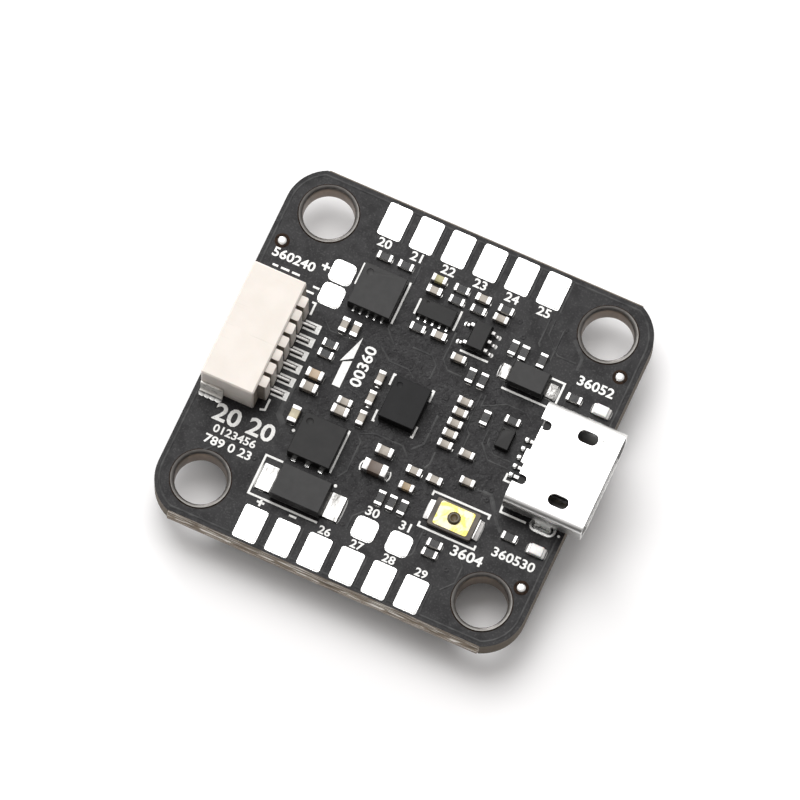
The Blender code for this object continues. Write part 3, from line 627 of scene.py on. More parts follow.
def add_pair(name, above, below, looks, smooth):
    """Turns two bmeshes into a piece on top of the board and one under it."""
    add_piece(name, above, looks, smooth=smooth)
    add_piece(name + "_under", below, looks, under=True, smooth=smooth)


def round_edges(piece, width, segments=2):
    """Rounds a piece's sharp edges by width millimetres."""
    bevel = piece.modifiers.new("round_edges", "BEVEL")
    bevel.width = width * MM
    bevel.segments = segments
    bevel.limit_method = "ANGLE"
    bevel.angle_limit = math.radians(BEVEL_ANGLE)


def soften(node, width, segments=2):
    """Rounds the edges of a CAD node with modifiers; its own mesh stays as packed."""
    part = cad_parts[node]
    weld = part.modifiers.new("join_faces", "WELD")
    weld.merge_threshold = WELD_REACH
    flat = part.modifiers.new("merge_flat_faces", "DECIMATE")
    flat.decimate_type = "DISSOLVE"
    flat.angle_limit = math.radians(FLAT_ANGLE)
    flat.delimit = {"MATERIAL"}
    round_edges(part, width, segments)
    shade = part.modifiers.new("shade_by_area", "WEIGHTED_NORMAL")
    shade.keep_sharp = False


def dress(node, finish, ease, segments=2):
    """One finish and eased edges for a CAD node."""
    paint(node, [finish])
    soften(node, ease, segments)


def paint_ends(node, body, end, axes, inner):
    """A body finish for a CAD node, and an end finish further than inner from its middle along the axes."""
    _, _, middle = place_mm(node)

    def choose(centre, _):
        return int(max(abs(centre[axis] - middle[axis]) for axis in axes) > inner)

    paint(node, [body, end], choose)


def paint(node, looks, choose=None):
    """Gives a CAD node its finishes; choose(face centre in mm, face normal) says which one a face has."""
    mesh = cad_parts[node].data
    mesh.materials.clear()
    for look in looks:
        mesh.materials.append(LOOKS[look])
    if choose:
        for face in mesh.polygons:
            face.material_index = choose(face.center / MM, face.normal)


# ---------------------------------------------------------------- board


CORNER_STEPS = 10


def board_outline(inset):
    """The board's edge moved in by inset, anticlockwise."""
    outline = []
    for edge, side in ((REAR_EDGE, -1), (FRONT_EDGE, 1)):
        radius = CORNER_RADIUS - inset
        sweep_angle = math.degrees(math.asin(min(1.0, (abs(edge) - inset - HOLE_REACH) / radius)))
        right = arc(HOLE_REACH, side * HOLE_REACH, radius, side * sweep_angle, 0, CORNER_STEPS)
        mirrored = [(-x, y) for x, y in reversed(right)]
        outline += mirrored + right if side < 0 else right[::-1] + mirrored[::-1]
    return outline


def pad_boxes():
    """The low and high corner of each raised pad on the laminate, read from its top faces."""
    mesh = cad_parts["pcb_laminate"].data
    boxes = []
    for face in mesh.polygons:
        centre = face.center / MM
        if centre.z < BOARD_HIGH.z - 0.005:
            continue
        points = [mesh.vertices[index].co / MM for index in face.vertices]
        low = Vector((min(p.x for p in points), min(p.y for p in points)))
        high = Vector((max(p.x for p in points), max(p.y for p in points)))
        reach = 0.1
        for known in boxes:
            if all(low[i] < known[1][i] + reach and high[i] > known[0][i] - reach for i in (0, 1)):
                for i in (0, 1):
                    known[0][i] = min(known[0][i], low[i])
                    known[1][i] = max(known[1][i], high[i])
                break
        else:
            boxes.append([low, high])
    return boxes


def paint_laminate():
    """Mask on the faces, tin on the pads and in the slots, brown laminate and torn fibre on the edges."""
    mask, tin, edge, fibre = range(4)

    def choose(centre, normal):
        if centre.y < REAR_EDGE - 0.02:
            return fibre
        if abs(normal.z) > 0.9:
            return tin if centre.z > TOP + 0.01 else mask
        if centre.z > TOP:
            return tin
        if abs(centre.y) < HOLE_REACH / 2 and abs(centre.x) < BOARD_HIGH.x - 0.3:
            return tin
        return edge

    paint("pcb_laminate", ["mask", "pad_tin", "edge", "fibre"], choose)


SHORTEST_EDGE_PAD = 1.8
PAD_CROWN = TOP + 0.075


def make_pads():
    """Solder levelled over every pad, with the same rows on the underside."""
    groups = {"front_pads": [], "rear_pads": [], "signal_pads": []}
    for low, high in pad_boxes():
        y = (low.y + high.y) / 2
        if high.y - low.y < SHORTEST_EDGE_PAD:
            groups["signal_pads"].append((low, high, 0.35))
        else:
            groups["front_pads" if y > 0 else "rear_pads"].append((low, high, 0.16))
    for name, pads in groups.items():
        top, below = bmesh.new(), bmesh.new()
        for low, high, radius in pads:
            x, y = (low + high) / 2
            width, depth = high - low
            spread = 0.03
            mound(top, x, y, width + spread, depth + spread, radius, ON_MASK, PAD_CROWN)
            mound(below, x, -y, width, depth, radius, FLUSH, PAD_CROWN)
        add_piece(name, top, ["pad_tin"], smooth=True)
        if name != "signal_pads":
            add_piece(name + "_under", below, ["pad_tin"], under=True, smooth=True)
    return groups


def from_left(pads):
    """The left edge of each pad in a row, from left to right."""
    return sorted(low.x for low, _, _ in pads)


def make_plated_holes():
    """Plated mounting holes whose rims roll over into the barrel, with a gap in the mask round each."""
    low, high = box_mm("hole_barrel_front_left")
    rim = (high.x - low.x) / 2
    crest = high.z
    wall = rim - 0.23  # the barrel's outer face, against the laminate
    bore = wall - 0.06
    roll = [(rim, FLUSH), (rim, crest - 0.012), (rim - 0.012, crest)]
    roll += [(rim - 0.06, crest - 0.008), (rim - 0.14, crest - 0.03), (wall + 0.005, TOP + 0.004)]
    roll += [(bore + 0.035, TOP - 0.05), (bore + 0.012, TOP - 0.16), (bore, TOP - 0.34)]
    inside = roll + [(radius, -z) for radius, z in reversed(roll)]
    profile = inside + [(wall, -FLUSH), (wall, FLUSH)]
    gaps, gaps_under = bmesh.new(), bmesh.new()
    for name, hole in zip(HOLE_NAMES, HOLES):
        bm = bmesh.new()
        skin(bm, lathe(hole.x, hole.y, profile, 56), False, looped=True)
        barrel = add_piece("plated_hole_" + name, bm, ["ring_metal"], smooth=True)
        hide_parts("hole_barrel_" + name)
        for side, y in ((gaps, hole.y), (gaps_under, -hole.y)):
            hoop(side, circle(hole.x, y, rim + 0.035, 48), 0.06, FLUSH, TOP + 0.006, 0.005)
    add_pair("hole_gaps", gaps, gaps_under, ["bare"], smooth=True)


FIDUCIALS = ((-12.0, 7.05), (11.88, 7.68), (11.93, -8.07))


def make_fiducials():
    """Alignment dots in their mask openings."""
    dots, openings = bmesh.new(), bmesh.new()
    for x, y in FIDUCIALS:
        disc(dots, x, y, 0.29, FLUSH, TOP + 0.03, 0.03, 24)
        hoop(openings, circle(x, y, 0.4, 28), 0.2, FLUSH, TOP + 0.006, 0.005)
    add_piece("fiducial_dots", dots, ["pad_tin"], smooth=True)
    add_piece("fiducial_openings", openings, ["bare"], smooth=True)


TRACE_TOP = TOP + 0.016
# Width of each trace and the corners of its middle line
TRACES = (
    (0.16, ((-3.0, 9.2), (-3.0, 7.9), (-3.2, 7.7), (-3.2, 4.4), (-2.4, 3.6))),
    (0.16, ((0.95, 6.0), (0.95, 4.0), (1.5, 3.4), (2.5, 3.4))),
    (0.2, ((2.22, 0.35), (2.22, -1.8), (1.6, -2.5))),
    (0.14, ((6.15, 9.5), (6.15, 7.6), (6.3, 7.4))),
    (0.14, ((6.5, 9.5), (6.5, 8.4), (7.6, 7.3), (8.9, 7.3))),
    (0.3, ((8.2, 8.8), (9.2, 7.8), (9.2, 6.9))),
    (0.16, ((-1.2, 3.9), (0.2, 3.9), (0.7, 3.4), (0.7, 2.4))),
    (0.16, ((-3.2, 3.2), (-2.2, 2.4), (-0.8, 2.4), (-0.3, 2.0))),
    (0.14, ((4.2, 2.9), (4.2, 0.4), (4.6, 0.0), (4.6, -0.9))),
    (0.14, ((4.5, 2.9), (4.5, 2.1), (6.0, 2.9), (7.4, 2.9), (8.0, 2.4))),
    (0.14, ((5.6, 0.9), (5.6, -0.2), (6.4, -1.1), (7.8, -1.1))),
    (0.14, ((5.9, 0.4), (5.9, 0.0), (6.6, -0.6), (7.8, -0.6))),
    (0.3, ((6.6, -3.2), (7.6, -3.2), (8.3, -4.2), (9.0, -5.0), (9.2, -5.2))),
    (0.16, ((3.1, -2.0), (3.1, -2.9), (2.9, -3.3))),
    (0.16, ((0.9, -7.3), (0.4, -7.8), (0.0, -8.2), (0.0, -9.1))),
    (0.16, ((4.6, -7.0), (4.6, -8.9), (4.4, -9.2))),
    (0.4, ((-7.7, -1.0), (-7.2, -1.6), (-7.2, -3.9), (-6.7, -4.4))),
    (0.16, ((-2.0, -3.0), (-1.6, -3.4), (-1.6, -5.6), (-2.0, -6.2))),
    (0.16, ((-1.9, -2.9), (-0.9, -2.5), (1.0, -2.5), (1.6, -3.1))),
    (0.14, ((-7.3, 3.4), (-6.6, 2.7), (-4.2, 2.7), (-3.0, 2.1), (-3.0, 1.5))),
    (0.14, ((7.2, -7.6), (7.9, -8.4), (7.9, -9.6), (7.2, -10.4))),
    (0.16, ((-10.9, -8.4), (-9.4, -6.9), (-7.9, -6.9))),
    (0.14, ((7.3, 9.2), (7.3, 6.8))),
)


def make_relief(pads):
    """Copper under the mask: an edge line, a line beside each edge pad, and the traces."""
    bm = bmesh.new()
    edge_line = board_outline(0.32)
    strip(bm, edge_line, 0.16, FLUSH, TRACE_TOP, 0.06, closed=True)
    for width, points in TRACES:
        strip(bm, points, width, FLUSH, TRACE_TOP, width * 0.38)
    for box_low, box_high, _ in pads["front_pads"] + pads["rear_pads"]:
        right = box_high.x + 0.19
        strip(bm, [(right, box_low.y), (right, box_high.y)], 0.13, FLUSH, TRACE_TOP, 0.05)
    below = bmesh.new()
    mirrored = [(x, -y) for x, y in edge_line]
    strip(below, mirrored, 0.16, FLUSH, TRACE_TOP, 0.06, closed=True)
    for side in (-1, 1):
        for step in range(5):
            out = step * 0.42
            x, bend = side * (7.4 + out), 3.0 + out
            points = [(x, -bend), (x, bend - 1), (x - side * 0.8, bend)]
            strip(below, points, 0.16, FLUSH, TRACE_TOP, 0.06)
    add_pair("copper_relief", bm, below, ["covered_copper"], smooth=False)


def occupied(x, y, reach, boxes):
    """True where a spot lies within reach of one of the boxes."""
    return any(lo[0] - reach < x < hi[0] + reach and lo[1] - reach < y < hi[1] + reach for lo, hi in boxes)


VIA_COUNT = 45


def make_vias(pads):
    """Tented vias: small rings of copper under the mask, each with a dimple."""
    taken = []
    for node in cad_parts:
        if node != "pcb_laminate":
            low, high = box_mm(node)
            if high.z > TOP:
                taken.append((low, high))
    for boxes in pads.values():
        taken += [(low, high) for low, high, _ in boxes]
    chips = chip_places(RESISTORS) + chip_places(SMALL_CAPACITORS)
    taken += [((x - 0.5, y - 0.5), (x + 0.5, y + 0.5)) for x, y, _ in chips]
    draw = random.Random(20)
    bm = bmesh.new()
    placed = []
    while len(placed) < VIA_COUNT:
        x, y = draw.uniform(-8.0, 9.0), draw.uniform(-9.0, 9.3)
        near = any(math.hypot(x - px, y - py) < 0.7 for px, py in placed)
        if near or occupied(x, y, 0.28, taken):
            continue
        placed.append((x, y))
        profile = ((0.2, FLUSH), (0.13, TRACE_TOP), (0.08, TRACE_TOP - 0.002), (0.05, FLUSH + 0.002))
        skin(bm, lathe(x, y, profile, 12))
    add_piece("tented_vias", bm, ["mask"], smooth=True)


def make_torn_fibres():
    """Short fibres left along both snapped edges."""
    draw = random.Random(7)
    bm = bmesh.new()
    for edge, side in ((REAR_EDGE, -1), (FRONT_EDGE, 1)):
        count = 150 if side < 0 else 20
        for _ in range(count):
            x = draw.uniform(-HOLE_REACH + 1.0, HOLE_REACH - 1.0)
            y = edge + side * (draw.uniform(0.1, 0.17) if side < 0 else 0.06)
            z = draw.uniform(-0.25, 0.3)
            length = draw.uniform(0.2, 1.6)
            tilt = draw.uniform(-0.04, 0.04)
            thick = draw.uniform(0.008, 0.02)
            points = [(x - length / 2, y), (x, y + side * thick), (x + length / 2, y + tilt * 0.5)]
            section = [(thick, z - thick), (-thick, z - thick), (-thick, z + thick), (thick, z + thick)]
            sweep(bm, points, section)
    add_piece("torn_fibres", bm, ["fibre"])


# ---------------------------------------------------------------- chip parts

# Centres of the chip parts that lie along X, then of those that lie along Y
RESISTORS = (
    (
        (-5.4, 8.75), (-3.9, 8.75), (0.1, 8.8), (0.1, 7.95), (1.65, 7.95), (3.3, 8.7), (-1.45, 5.2),
        (9.8, 5.0), (-6.15, 1.8), (-6.15, 1.05), (6.8, 1.95), (5.65, -7.8), (5.6, -8.5), (9.85, -5.35),
    ),
    (
        (3.05, 3.65), (3.9, 3.65), (4.8, 6.55), (5.55, 6.5), (6.85, 6.5), (5.1, 1.4), (1.15, -6.4),
        (1.95, -6.4), (2.75, -6.4),
    ),
)
SMALL_CAPACITORS = (
    ((-1.5, 7.95), (1.65, 8.75), (0.05, 5.25), (2.4, -3.85), (3.85, -3.85)),
    ((-5.85, 3.35), (-5.05, 3.35)),
)
# The same, on the underside, seen from above
UNDER_RESISTORS = (
    ((8.2, 5.2), (8.2, 4.3), (8.2, 3.4), (-8.3, -3.0), (-8.3, -3.9), (3.4, 7.8)),
    ((-3.2, -6.9), (-2.2, -6.9), (3.1, -6.9)),
)
UNDER_CAPACITORS = (
    ((-8.4, 4.4), (-8.4, -1.3), (-3.0, 7.8), (0.0, 7.8)),
    ((-1.2, -6.9), (0.4, -6.9), (8.1, 1.6), (8.9, 1.6), (8.1, -1.2)),
)
CHIP_FOOT = TOP + 0.015
RESISTOR_SIZE = (1.0, 0.5, 0.35)
CAPACITOR_SIZE = (1.0, 0.5, 0.5)
CAP_SHARE = 0.24  # of a part's length, as on the CAD nodes
RESISTOR_CAP_SHARE = 0.18
CAP, FACE = 1, 2  # material slots of a chip part; its body has slot 0


def chip_places(table):
    """Centre x, centre y and angle of each part in a table."""
    return [(x, y, angle) for angle, centres in zip((0, 90), table) for x, y in centres]


def chip_component(bm, x, y, angle, size, faced):
    """Adds a chip part: a body between end caps; faced gives its top a finish of its own."""
    length, width, height = size
    proud = 0.02  # how far the caps stand out from the body
    a, b = length / 2, length / 2 - length * (RESISTOR_CAP_SHARE if faced else CAP_SHARE)
    rings = []
    for place, inset in ((-a, 0), (-b, 0), (-b + 0.01, proud), (b - 0.01, proud), (b, 0), (a, 0)):
        w, top, foot = width / 2 - inset, height - inset, inset
        rings.append([(place, -w, foot), (place, w, foot), (place, w, top), (place, -w, top)])
    move = Matrix.Translation((x, y, CHIP_FOOT)) @ Matrix.Rotation(math.radians(angle), 4, "Z")
    along = 1 if angle else 0
    for face in skin(bm, [[move @ Vector(point) for point in ring] for ring in rings]):
        centre = face.calc_center_median()
        if abs(centre[along] - (x, y)[along]) > b - 0.02:
            face.material_index = CAP
        elif faced and centre.z > CHIP_FOOT + height - 2 * proud:
            face.material_index = FACE


def end_fillets(bm, x, y, angle, size):
    """Adds the solder at both ends of a chip part."""
    length, width, height = size
    for facing in (angle, angle + 180):
        out = Matrix.Rotation(math.radians(facing), 2) @ Vector((length / 2 - 0.01, 0.0))
        fillet(bm, x + out.x, y + out.y, width * 0.96, reach=0.1, rise=height / 2, angle=facing)


def make_chip_parts():
    """The small resistors and capacitors on both sides; returns the solder of either side."""
    resistor_looks = ["alumina", "lead_tin", "glass"]
    capacitor_looks = ["beige", "lead_tin", "beige"]
    groups = (
        ("chip_resistors", RESISTORS, RESISTOR_SIZE, resistor_looks, False),
        ("chip_capacitors", SMALL_CAPACITORS, CAPACITOR_SIZE, capacitor_looks, False),
        ("chip_resistors_under", UNDER_RESISTORS, RESISTOR_SIZE, resistor_looks, True),
        ("chip_capacitors_under", UNDER_CAPACITORS, CAPACITOR_SIZE, capacitor_looks, True),
    )
    joints = (bmesh.new(), bmesh.new())
    for name, table, size, picked, under in groups:
        bm = bmesh.new()
        for x, y, angle in chip_places(table):
            row = -y if under else y
            chip_component(bm, x, row, angle, size, size is RESISTOR_SIZE)
            end_fillets(joints[under], x, row, angle, size)
        add_piece(name, bm, picked, under=under, rounding=0.03)
    return joints


def passive_nodes():
    """The CAD nodes of chip parts, each with its body's finish."""
    special = {
        "power_inductor": "ferrite",
        "filter_capacitor_6": "olive",
        "output_capacitor_3": "tan",
        "input_capacitor_1": "peach",
        "input_capacitor_3": "cream",
    }
    kinds = ("bank_capacitor", "filter_capacitor", "input_capacitor", "output_capacitor", "sensor_capacitor")
    found = {node: "beige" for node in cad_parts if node.startswith(kinds)}
    found.update(special)
    return found


def dress_passives(solder):
    """Caps, body finish, rounded edges and solder for the CAD chip parts."""
    for node, body in passive_nodes().items():
        low, high, middle = place_mm(node)
        size = high - low
        along = 1 if size.y > size.x else 0
        inner = size[along] * (0.5 - CAP_SHARE) - 0.006
        paint_ends(node, body, "lead_tin", (along,), inner)
        soften(node, 0.035)
        end_fillets(solder, middle.x, middle.y, 90 * along, (size[along], size[1 - along], size.z))


# ---------------------------------------------------------------- chips and diodes


# CAD node, number of lands along each of its front and rear sides, pitch, land width
SIDE_LANDS = (
    ("quad_flat_chip", 5, 0.5, 0.17),
    ("dual_flat_chip", 5, 0.5, 0.17),
    ("buck_regulator", 3, 0.97, 0.34),
)


def evenly(count, pitch):
    """Places of a row of things about its middle."""
    return [(i - (count - 1) / 2) * pitch for i in range(count)]


def make_side_lands():
    """The plated lands that show at the foot of the leadless chips, with a bead of solder on each."""
    bm = bmesh.new()
    for node, count, pitch, width in SIDE_LANDS:
        low, high, middle = place_mm(node)
        for offset in evenly(count, pitch):
            x = middle.x + offset
            for edge, side, reach in ((low.y, -1, 0.24), (high.y, 1, 0.05)):
                near, far = sorted((edge - side * 0.01, edge + side * reach))
                block(bm, (x - width / 2, near, ON_MASK), (x + width / 2, far, TOP + 0.05), 0.02)
    add_piece("chip_lands", bm, ["solder"], smooth=True)


def dress_chips():
    """Grain and eased edges for the moulded packages."""
    packages = {
        "quad_flat_chip": "light_moulding",
        "dual_flat_chip": "moulding",
        "motion_sensor": "dark_moulding",
        "surge_protection_chip": "moulding",
        "buck_regulator": "moulding",
    }
    for node, finish in packages.items():
        dress(node, finish, 0.02)


# Body finish, lead finish, axes along which the leads stand out, half the body's width
LEADED = {
    "sensor_regulator": ("moulding", "lead_tin", (0,), 0.635),
    "small_diode": ("light_moulding", "wet_tin", (0,), 1.3),
    "large_diode": ("light_moulding", "wet_tin", (0,), 1.8),
    "main_processor": ("moulding", "lead_tin", (0, 1), 5.01),
}


def dress_leaded(solder, under_solder):
    """Tin on the leads, moulding on the bodies, and solder at the toes."""
    for node, (body, lead, axes, half) in LEADED.items():
        paint_ends(node, body, lead, axes, half)
        soften(node, 0.02)
    for node, lead_width, rise in (("small_diode", 1.0, 0.16), ("large_diode", 1.8, 0.2)):
        low, high, middle = place_mm(node)
        for x, angle in ((low.x, 180), (high.x, 0)):
            fillet(solder, x, middle.y, lead_width * 1.02, reach=0.16, rise=rise, angle=angle)
            inner = x - math.copysign(0.35, x - middle.x)
            for side in (-1, 1):
                y = middle.y + side * lead_width / 2
                fillet(solder, inner, y, width=0.6, reach=0.08, rise=rise, angle=90 * side)
    low, high, middle = place_mm("sensor_regulator")
    for x, angle, places in ((high.x, 0, evenly(3, 0.65)), (low.x, 180, evenly(2, 1.3))):
        for offset in places:
            fillet(solder, x - 0.02, middle.y + offset, width=0.34, reach=0.2, rise=0.11, angle=angle)
    low, high, middle = place_mm("main_processor")
    toes = (high.x - low.x) / 2
    for offset in evenly(16, 0.5):
        for angle in (0, 90, 180, 270):
            out = Matrix.Rotation(math.radians(angle), 2) @ Vector((toes - 0.01, offset))
            x, y = middle.x + out.x, -middle.y + out.y
            fillet(under_solder, x, y, width=0.3, reach=0.22, rise=0.12, angle=angle)


# ---------------------------------------------------------------- connectors, switch and lamps


USB_CONTACTS = [f"usb_contact_{number}" for number in range(1, 6)]
SOCKET_PINS = [f"socket_pin_{number}" for number in range(1, 7)]
USB_LEG_X = 11.52
USB_LEG_Y = 3.68  # to either side of the socket's middle
USB_SLOT = (1.66, 0.8, 0.39)  # middle line of the ring round a leg's slot: length, width, corner radius


def slot_ring(bm, y):
    """Adds the tinned ring round the slot of one leg."""
    hoop(bm, rounded(USB_LEG_X, y, *USB_SLOT, 6), 0.2, FLUSH, TOP + 0.04, 0.03)


def dress_usb():
    """Drawn steel shell, black insulator and gold contacts, with the slot rings and solder of its legs."""
    dress("usb_shell", "steel", 0.05, 3)
    dress("usb_insulator", "moulding", 0.02)
    low, _, shell = place_mm("usb_shell")
    tail_end = low.x + 0.6
    beads = bmesh.new()
    for node in USB_CONTACTS:
        # the contact tails take the darker tin: painted shade
        paint(node, ["gold", "pin_tin_painted_shade"], lambda centre, _: int(centre.x < tail_end))
        soften(node, 0.015)
        tail, _, middle = place_mm(node)
        x, y = tail.x + 0.2, middle.y
        mound(beads, x, y, width=0.44, depth=0.4, radius=0.14, low=ON_MASK, high=TOP + 0.26)
    rings, rings_under = bmesh.new(), bmesh.new()
    for side in (-1, 1):
        x, y = USB_LEG_X, shell.y + side * USB_LEG_Y
        slot_ring(rings, y)
        fillet(beads, x, y + side * 0.07, width=1.15, reach=0.3, rise=0.42, angle=90 * side)
        slot_ring(rings_under, -y)
        mound(rings_under, x, -y, width=1.35, depth=0.55, radius=0.27, low=TOP - 0.1, high=TOP + 0.16)
    add_piece("usb_slot_rings", rings, ["pad_tin"], smooth=True)
    add_piece("usb_slot_rings_under", rings_under, ["solder"], under=True, smooth=True)
    return beads


def dress_socket(solder):
    """Ivory housing with painted shade on the fin sides and between the fins, tinned pins and brackets, and
    the solder at their feet.
    """
    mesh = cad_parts["socket_housing"].data
    roof = box_mm("socket_housing")[1].z
    wall = max(vertex.co.x for vertex in mesh.vertices if vertex.co.z / MM > roof - 0.15) / MM

    def choose(centre, normal):
        # Fin sides and the wall between the fins take the darker ivory: painted shade in the gaps.
        fin_side = centre.x > wall + 0.01 and abs(normal.y) > 0.9
        between = normal.x > 0.9 and abs(centre.x - wall) < 0.03
        return 1 if fin_side or between else 0

    paint("socket_housing", ["ivory", "ivory_painted_shade"], choose)
    soften("socket_housing", 0.05)
    for node in SOCKET_PINS:
        # the pins take the darker tin: painted shade where they sit between the fins
        dress(node, "pin_tin_painted_shade", 0.03)
        _, high, middle = place_mm(node)
        fillet(solder, high.x - 0.02, middle.y, width=0.22, reach=0.1, rise=0.12, angle=0)
    for name, side in (("front", 1), ("rear", -1)):
        node = "socket_anchor_" + name
        dress(node, "hazed_tin", 0.02)
        low, high = box_mm(node)
        y = (high.y if side > 0 else low.y) - side * 0.03
        for share in (0.14, 0.38, 0.62, 0.86):
            x = low.x + (high.x - low.x) * share
            fillet(solder, x, y, width=0.5, reach=0.3, rise=0.17, angle=90 * side)


def make_plunger():
    """The switch's plunger: a raised rim round a dished centre, on the CAD plunger's own step."""
    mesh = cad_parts["boot_switch_plunger"].data
    low, high, centre = place_mm("boot_switch_plunger")
    flange = (high.x - low.x) / 2
    crown = [vertex.co / MM for vertex in mesh.vertices if vertex.co.z / MM > high.z - 0.002]
    stem = max(point.x for point in crown) - centre.x
    shoulder = max(v.co.z / MM for v in mesh.vertices if (v.co.x / MM - centre.x) > flange - 0.005)
    profile = [(0.01, low.z), (flange, low.z), (flange, shoulder), (stem, shoulder), (stem, high.z - 0.03)]
    profile += [(stem * 0.93, high.z - 0.006), (stem * 0.82, high.z), (stem * 0.7, high.z - 0.008)]
    profile += [(stem * 0.6, high.z - 0.045), (stem * 0.3, high.z - 0.06), (0.01, high.z - 0.062)]
    bm = bmesh.new()
    for face in skin(bm, lathe(centre.x, centre.y, profile, 36)):
        middle = face.calc_center_median()
        away = math.hypot(middle.x - centre.x, middle.y - centre.y)
        if middle.z > shoulder and away > stem * 0.66:
            face.material_index = 1
    picked = ["brown_plastic", "rim_plastic"]
    plunger = add_piece("switch_plunger", bm, picked, smooth=True, body="boot_button")
    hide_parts("boot_switch_plunger")


def dress_switch(solder):
    """The boot switch: moulded tray, film, plunger, terminals and a snap dome."""
    dress("boot_switch_base", "grey_moulding", 0.03)
    paint("boot_switch_cover", ["film"])
    make_plunger()
    for side_name, side in (("left", -1), ("right", 1)):
        node = "boot_switch_terminal_" + side_name
        dress(node, "lead_tin", 0.02)
        low, high, middle = place_mm(node)
        x = (high.x if side > 0 else low.x) - side * 0.02
        fillet(solder, x, middle.y, width=1.3, reach=0.07, rise=0.08, angle=90 - 90 * side)
    make_dome()


def make_dome():
    """The snap dome as a thin bowed sheet, open at its very middle."""
    low, high, centre = place_mm("boot_switch_dome")
    outer = (high.x - low.x) / 2
    sheet = 0.03
    steps = 8
    under_side = [(1 - i / steps, 0.0) for i in range(steps)]
    upper_side = [(i / steps, sheet) for i in range(1, steps + 1)]
    profile = []
    for share, lift in under_side + upper_side:
        z = low.z + (high.z - sheet - low.z) * (1 - share * share) + lift
        profile.append((max(outer * share, 0.01), z))
    bm = bmesh.new()
    skin(bm, lathe(centre.x, centre.y, profile, 28), False, looped=True)
    dome = add_piece("snap_dome", bm, ["steel"], smooth=True)
    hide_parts("boot_switch_dome")
    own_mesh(dome)


def dress_lamps(solder):
    """Indicator lamps: a milky lens between tinned ends."""
    foot = 0.3  # the solder climbs half of this
    for node in ("power_lamp", "status_lamp"):
        low, high, middle = place_mm(node)
        size = high - low
        paint_ends(node, "lens", "lead_tin", (0,), size.x * 0.37)
        soften(node, 0.03)
        end_fillets(solder, middle.x, middle.y, 0, (size.x, size.y, foot))


# ---------------------------------------------------------------- legend

INK_LOW, INK_HIGH = TOP + 0.004, TOP + 0.019
LINE = 0.15
DIGIT_WIDENING = 1.12
FIRST_TERMINAL = 20
HALF_PAD = 0.8  # from a pad's left edge to its middle


def ink_line(bm, *points, width=LINE):
    """Adds one drawn line of the legend."""
    strip(bm, points, width, INK_LOW, INK_HIGH, 0.012)


def ink_digits(bm, text, x, y, height, angle=0.0):
    """Adds numerals of a given height about a place."""
    curve = bpy.data.curves.new("digits", "FONT")
    curve.body = text
    curve.extrude = 0.5
    curve.resolution_u = 3
    curve.offset = 0.022  # a bolder stroke
    writer = linked("digits", curve)
    graph = bpy.context.evaluated_depsgraph_get()
    mesh = bpy.data.meshes.new_from_object(writer.evaluated_get(graph))
    bpy.data.objects.remove(writer)
    corners = [vertex.co for vertex in mesh.vertices]
    lows = [min(co[i] for co in corners) for i in range(3)]
    highs = [max(co[i] for co in corners) for i in range(3)]
    middle = Vector([(a + b) / 2 for a, b in zip(lows, highs)])
    scale = height / (highs[1] - lows[1])
    thick = (INK_HIGH - INK_LOW) / (highs[2] - lows[2])
    grow = Matrix.Diagonal((scale * DIGIT_WIDENING, scale, thick, 1.0))
    move = Matrix.Translation((x, y, (INK_LOW + INK_HIGH) / 2))
    place = move @ Matrix.Rotation(math.radians(angle), 4, "Z")
    mesh.transform(place @ grow @ Matrix.Translation(-middle))
    bm.from_mesh(mesh)
    bpy.data.meshes.remove(mesh)


def ink_sign(bm, x, y, size, upright):
    """Adds a plus or a minus sign."""
    if upright:
        arm = LINE / 2
        corners = [(size, arm), (arm, arm), (arm, size)]
        outline = []
        for turn in range(4):
            spin = Matrix.Rotation(math.radians(90 * turn), 2)
            outline += [tuple(spin @ Vector(corner) + Vector((x, y))) for corner in corners]
        stack(bm, [(outline, INK_LOW), (outline, INK_HIGH)])
    else:
        ink_line(bm, (x - size, y), (x + size, y))


def pin_surrounds(bm):
    """The open frame drawn round each pin of the harness socket."""
    for node in SOCKET_PINS:
        _, high, middle = place_mm(node)
        x0, x1, y, half = high.x - 0.8, high.x + 0.26, middle.y, 0.26
        ink_line(bm, (x0, y + half), (x1, y + half), (x1, y - half), (x0, y - half))
        ink_line(bm, (x1 - 0.14, y + half - 0.05), (x1 - 0.14, y - half + 0.05), width=0.2)


# Corners of the drawn lines: beside the chips, round the diodes, round the switch and the connectors
OUTLINES = (
    ((-6.43, 6.3), (-6.43, 7.9)),
    ((-3.15, 4.8), (-3.15, 7.9)),
    ((-2.1, 6.05), (-2.1, 7.2)),
    ((0.7, 6.05), (0.7, 7.5)),
    ((-2.55, -6.15), (-2.55, -3.0)),
    ((1.65, 5.02), (3.65, 5.02)),
    ((7.9, 5.75), (8.82, 5.75), (8.82, 4.2)),
    ((5.15, 3.82), (8.6, 3.82)),
    ((-5.6, -6.75), (-6.8, -6.75), (-6.8, -9.57), (-1.9, -9.57)),
    ((4.12, -4.75), (4.12, -4.45), (8.08, -4.45), (8.08, -4.75)),
    ((4.12, -6.7), (4.12, -7.0), (8.08, -7.0), (8.08, -6.7)),
    ((8.55, -3.35), (8.58, -3.94), (10.4, -3.94)),
    ((7.95, -1.35), (7.92, -1.88), (8.35, -1.88)),
    ((8.55, 3.25), (8.58, 3.9), (10.4, 3.9)),
    ((-11.9, 5.32), (-11.5, 5.32)),
    ((-11.3, 5.32), (-10.7, 5.32)),
    ((-10.5, 5.32), (-9.95, 5.32)),
    ((-8.17, -3.2), (-8.17, -4.0), (-8.5, -4.1)),
    ((-8.85, 5.0), (-8.4, 5.0)),
    ((-9.2, 4.55), (-8.6, 4.55)),
    ((-8.45, 4.0), (-8.2, 4.0), (-8.2, 3.15)),
)
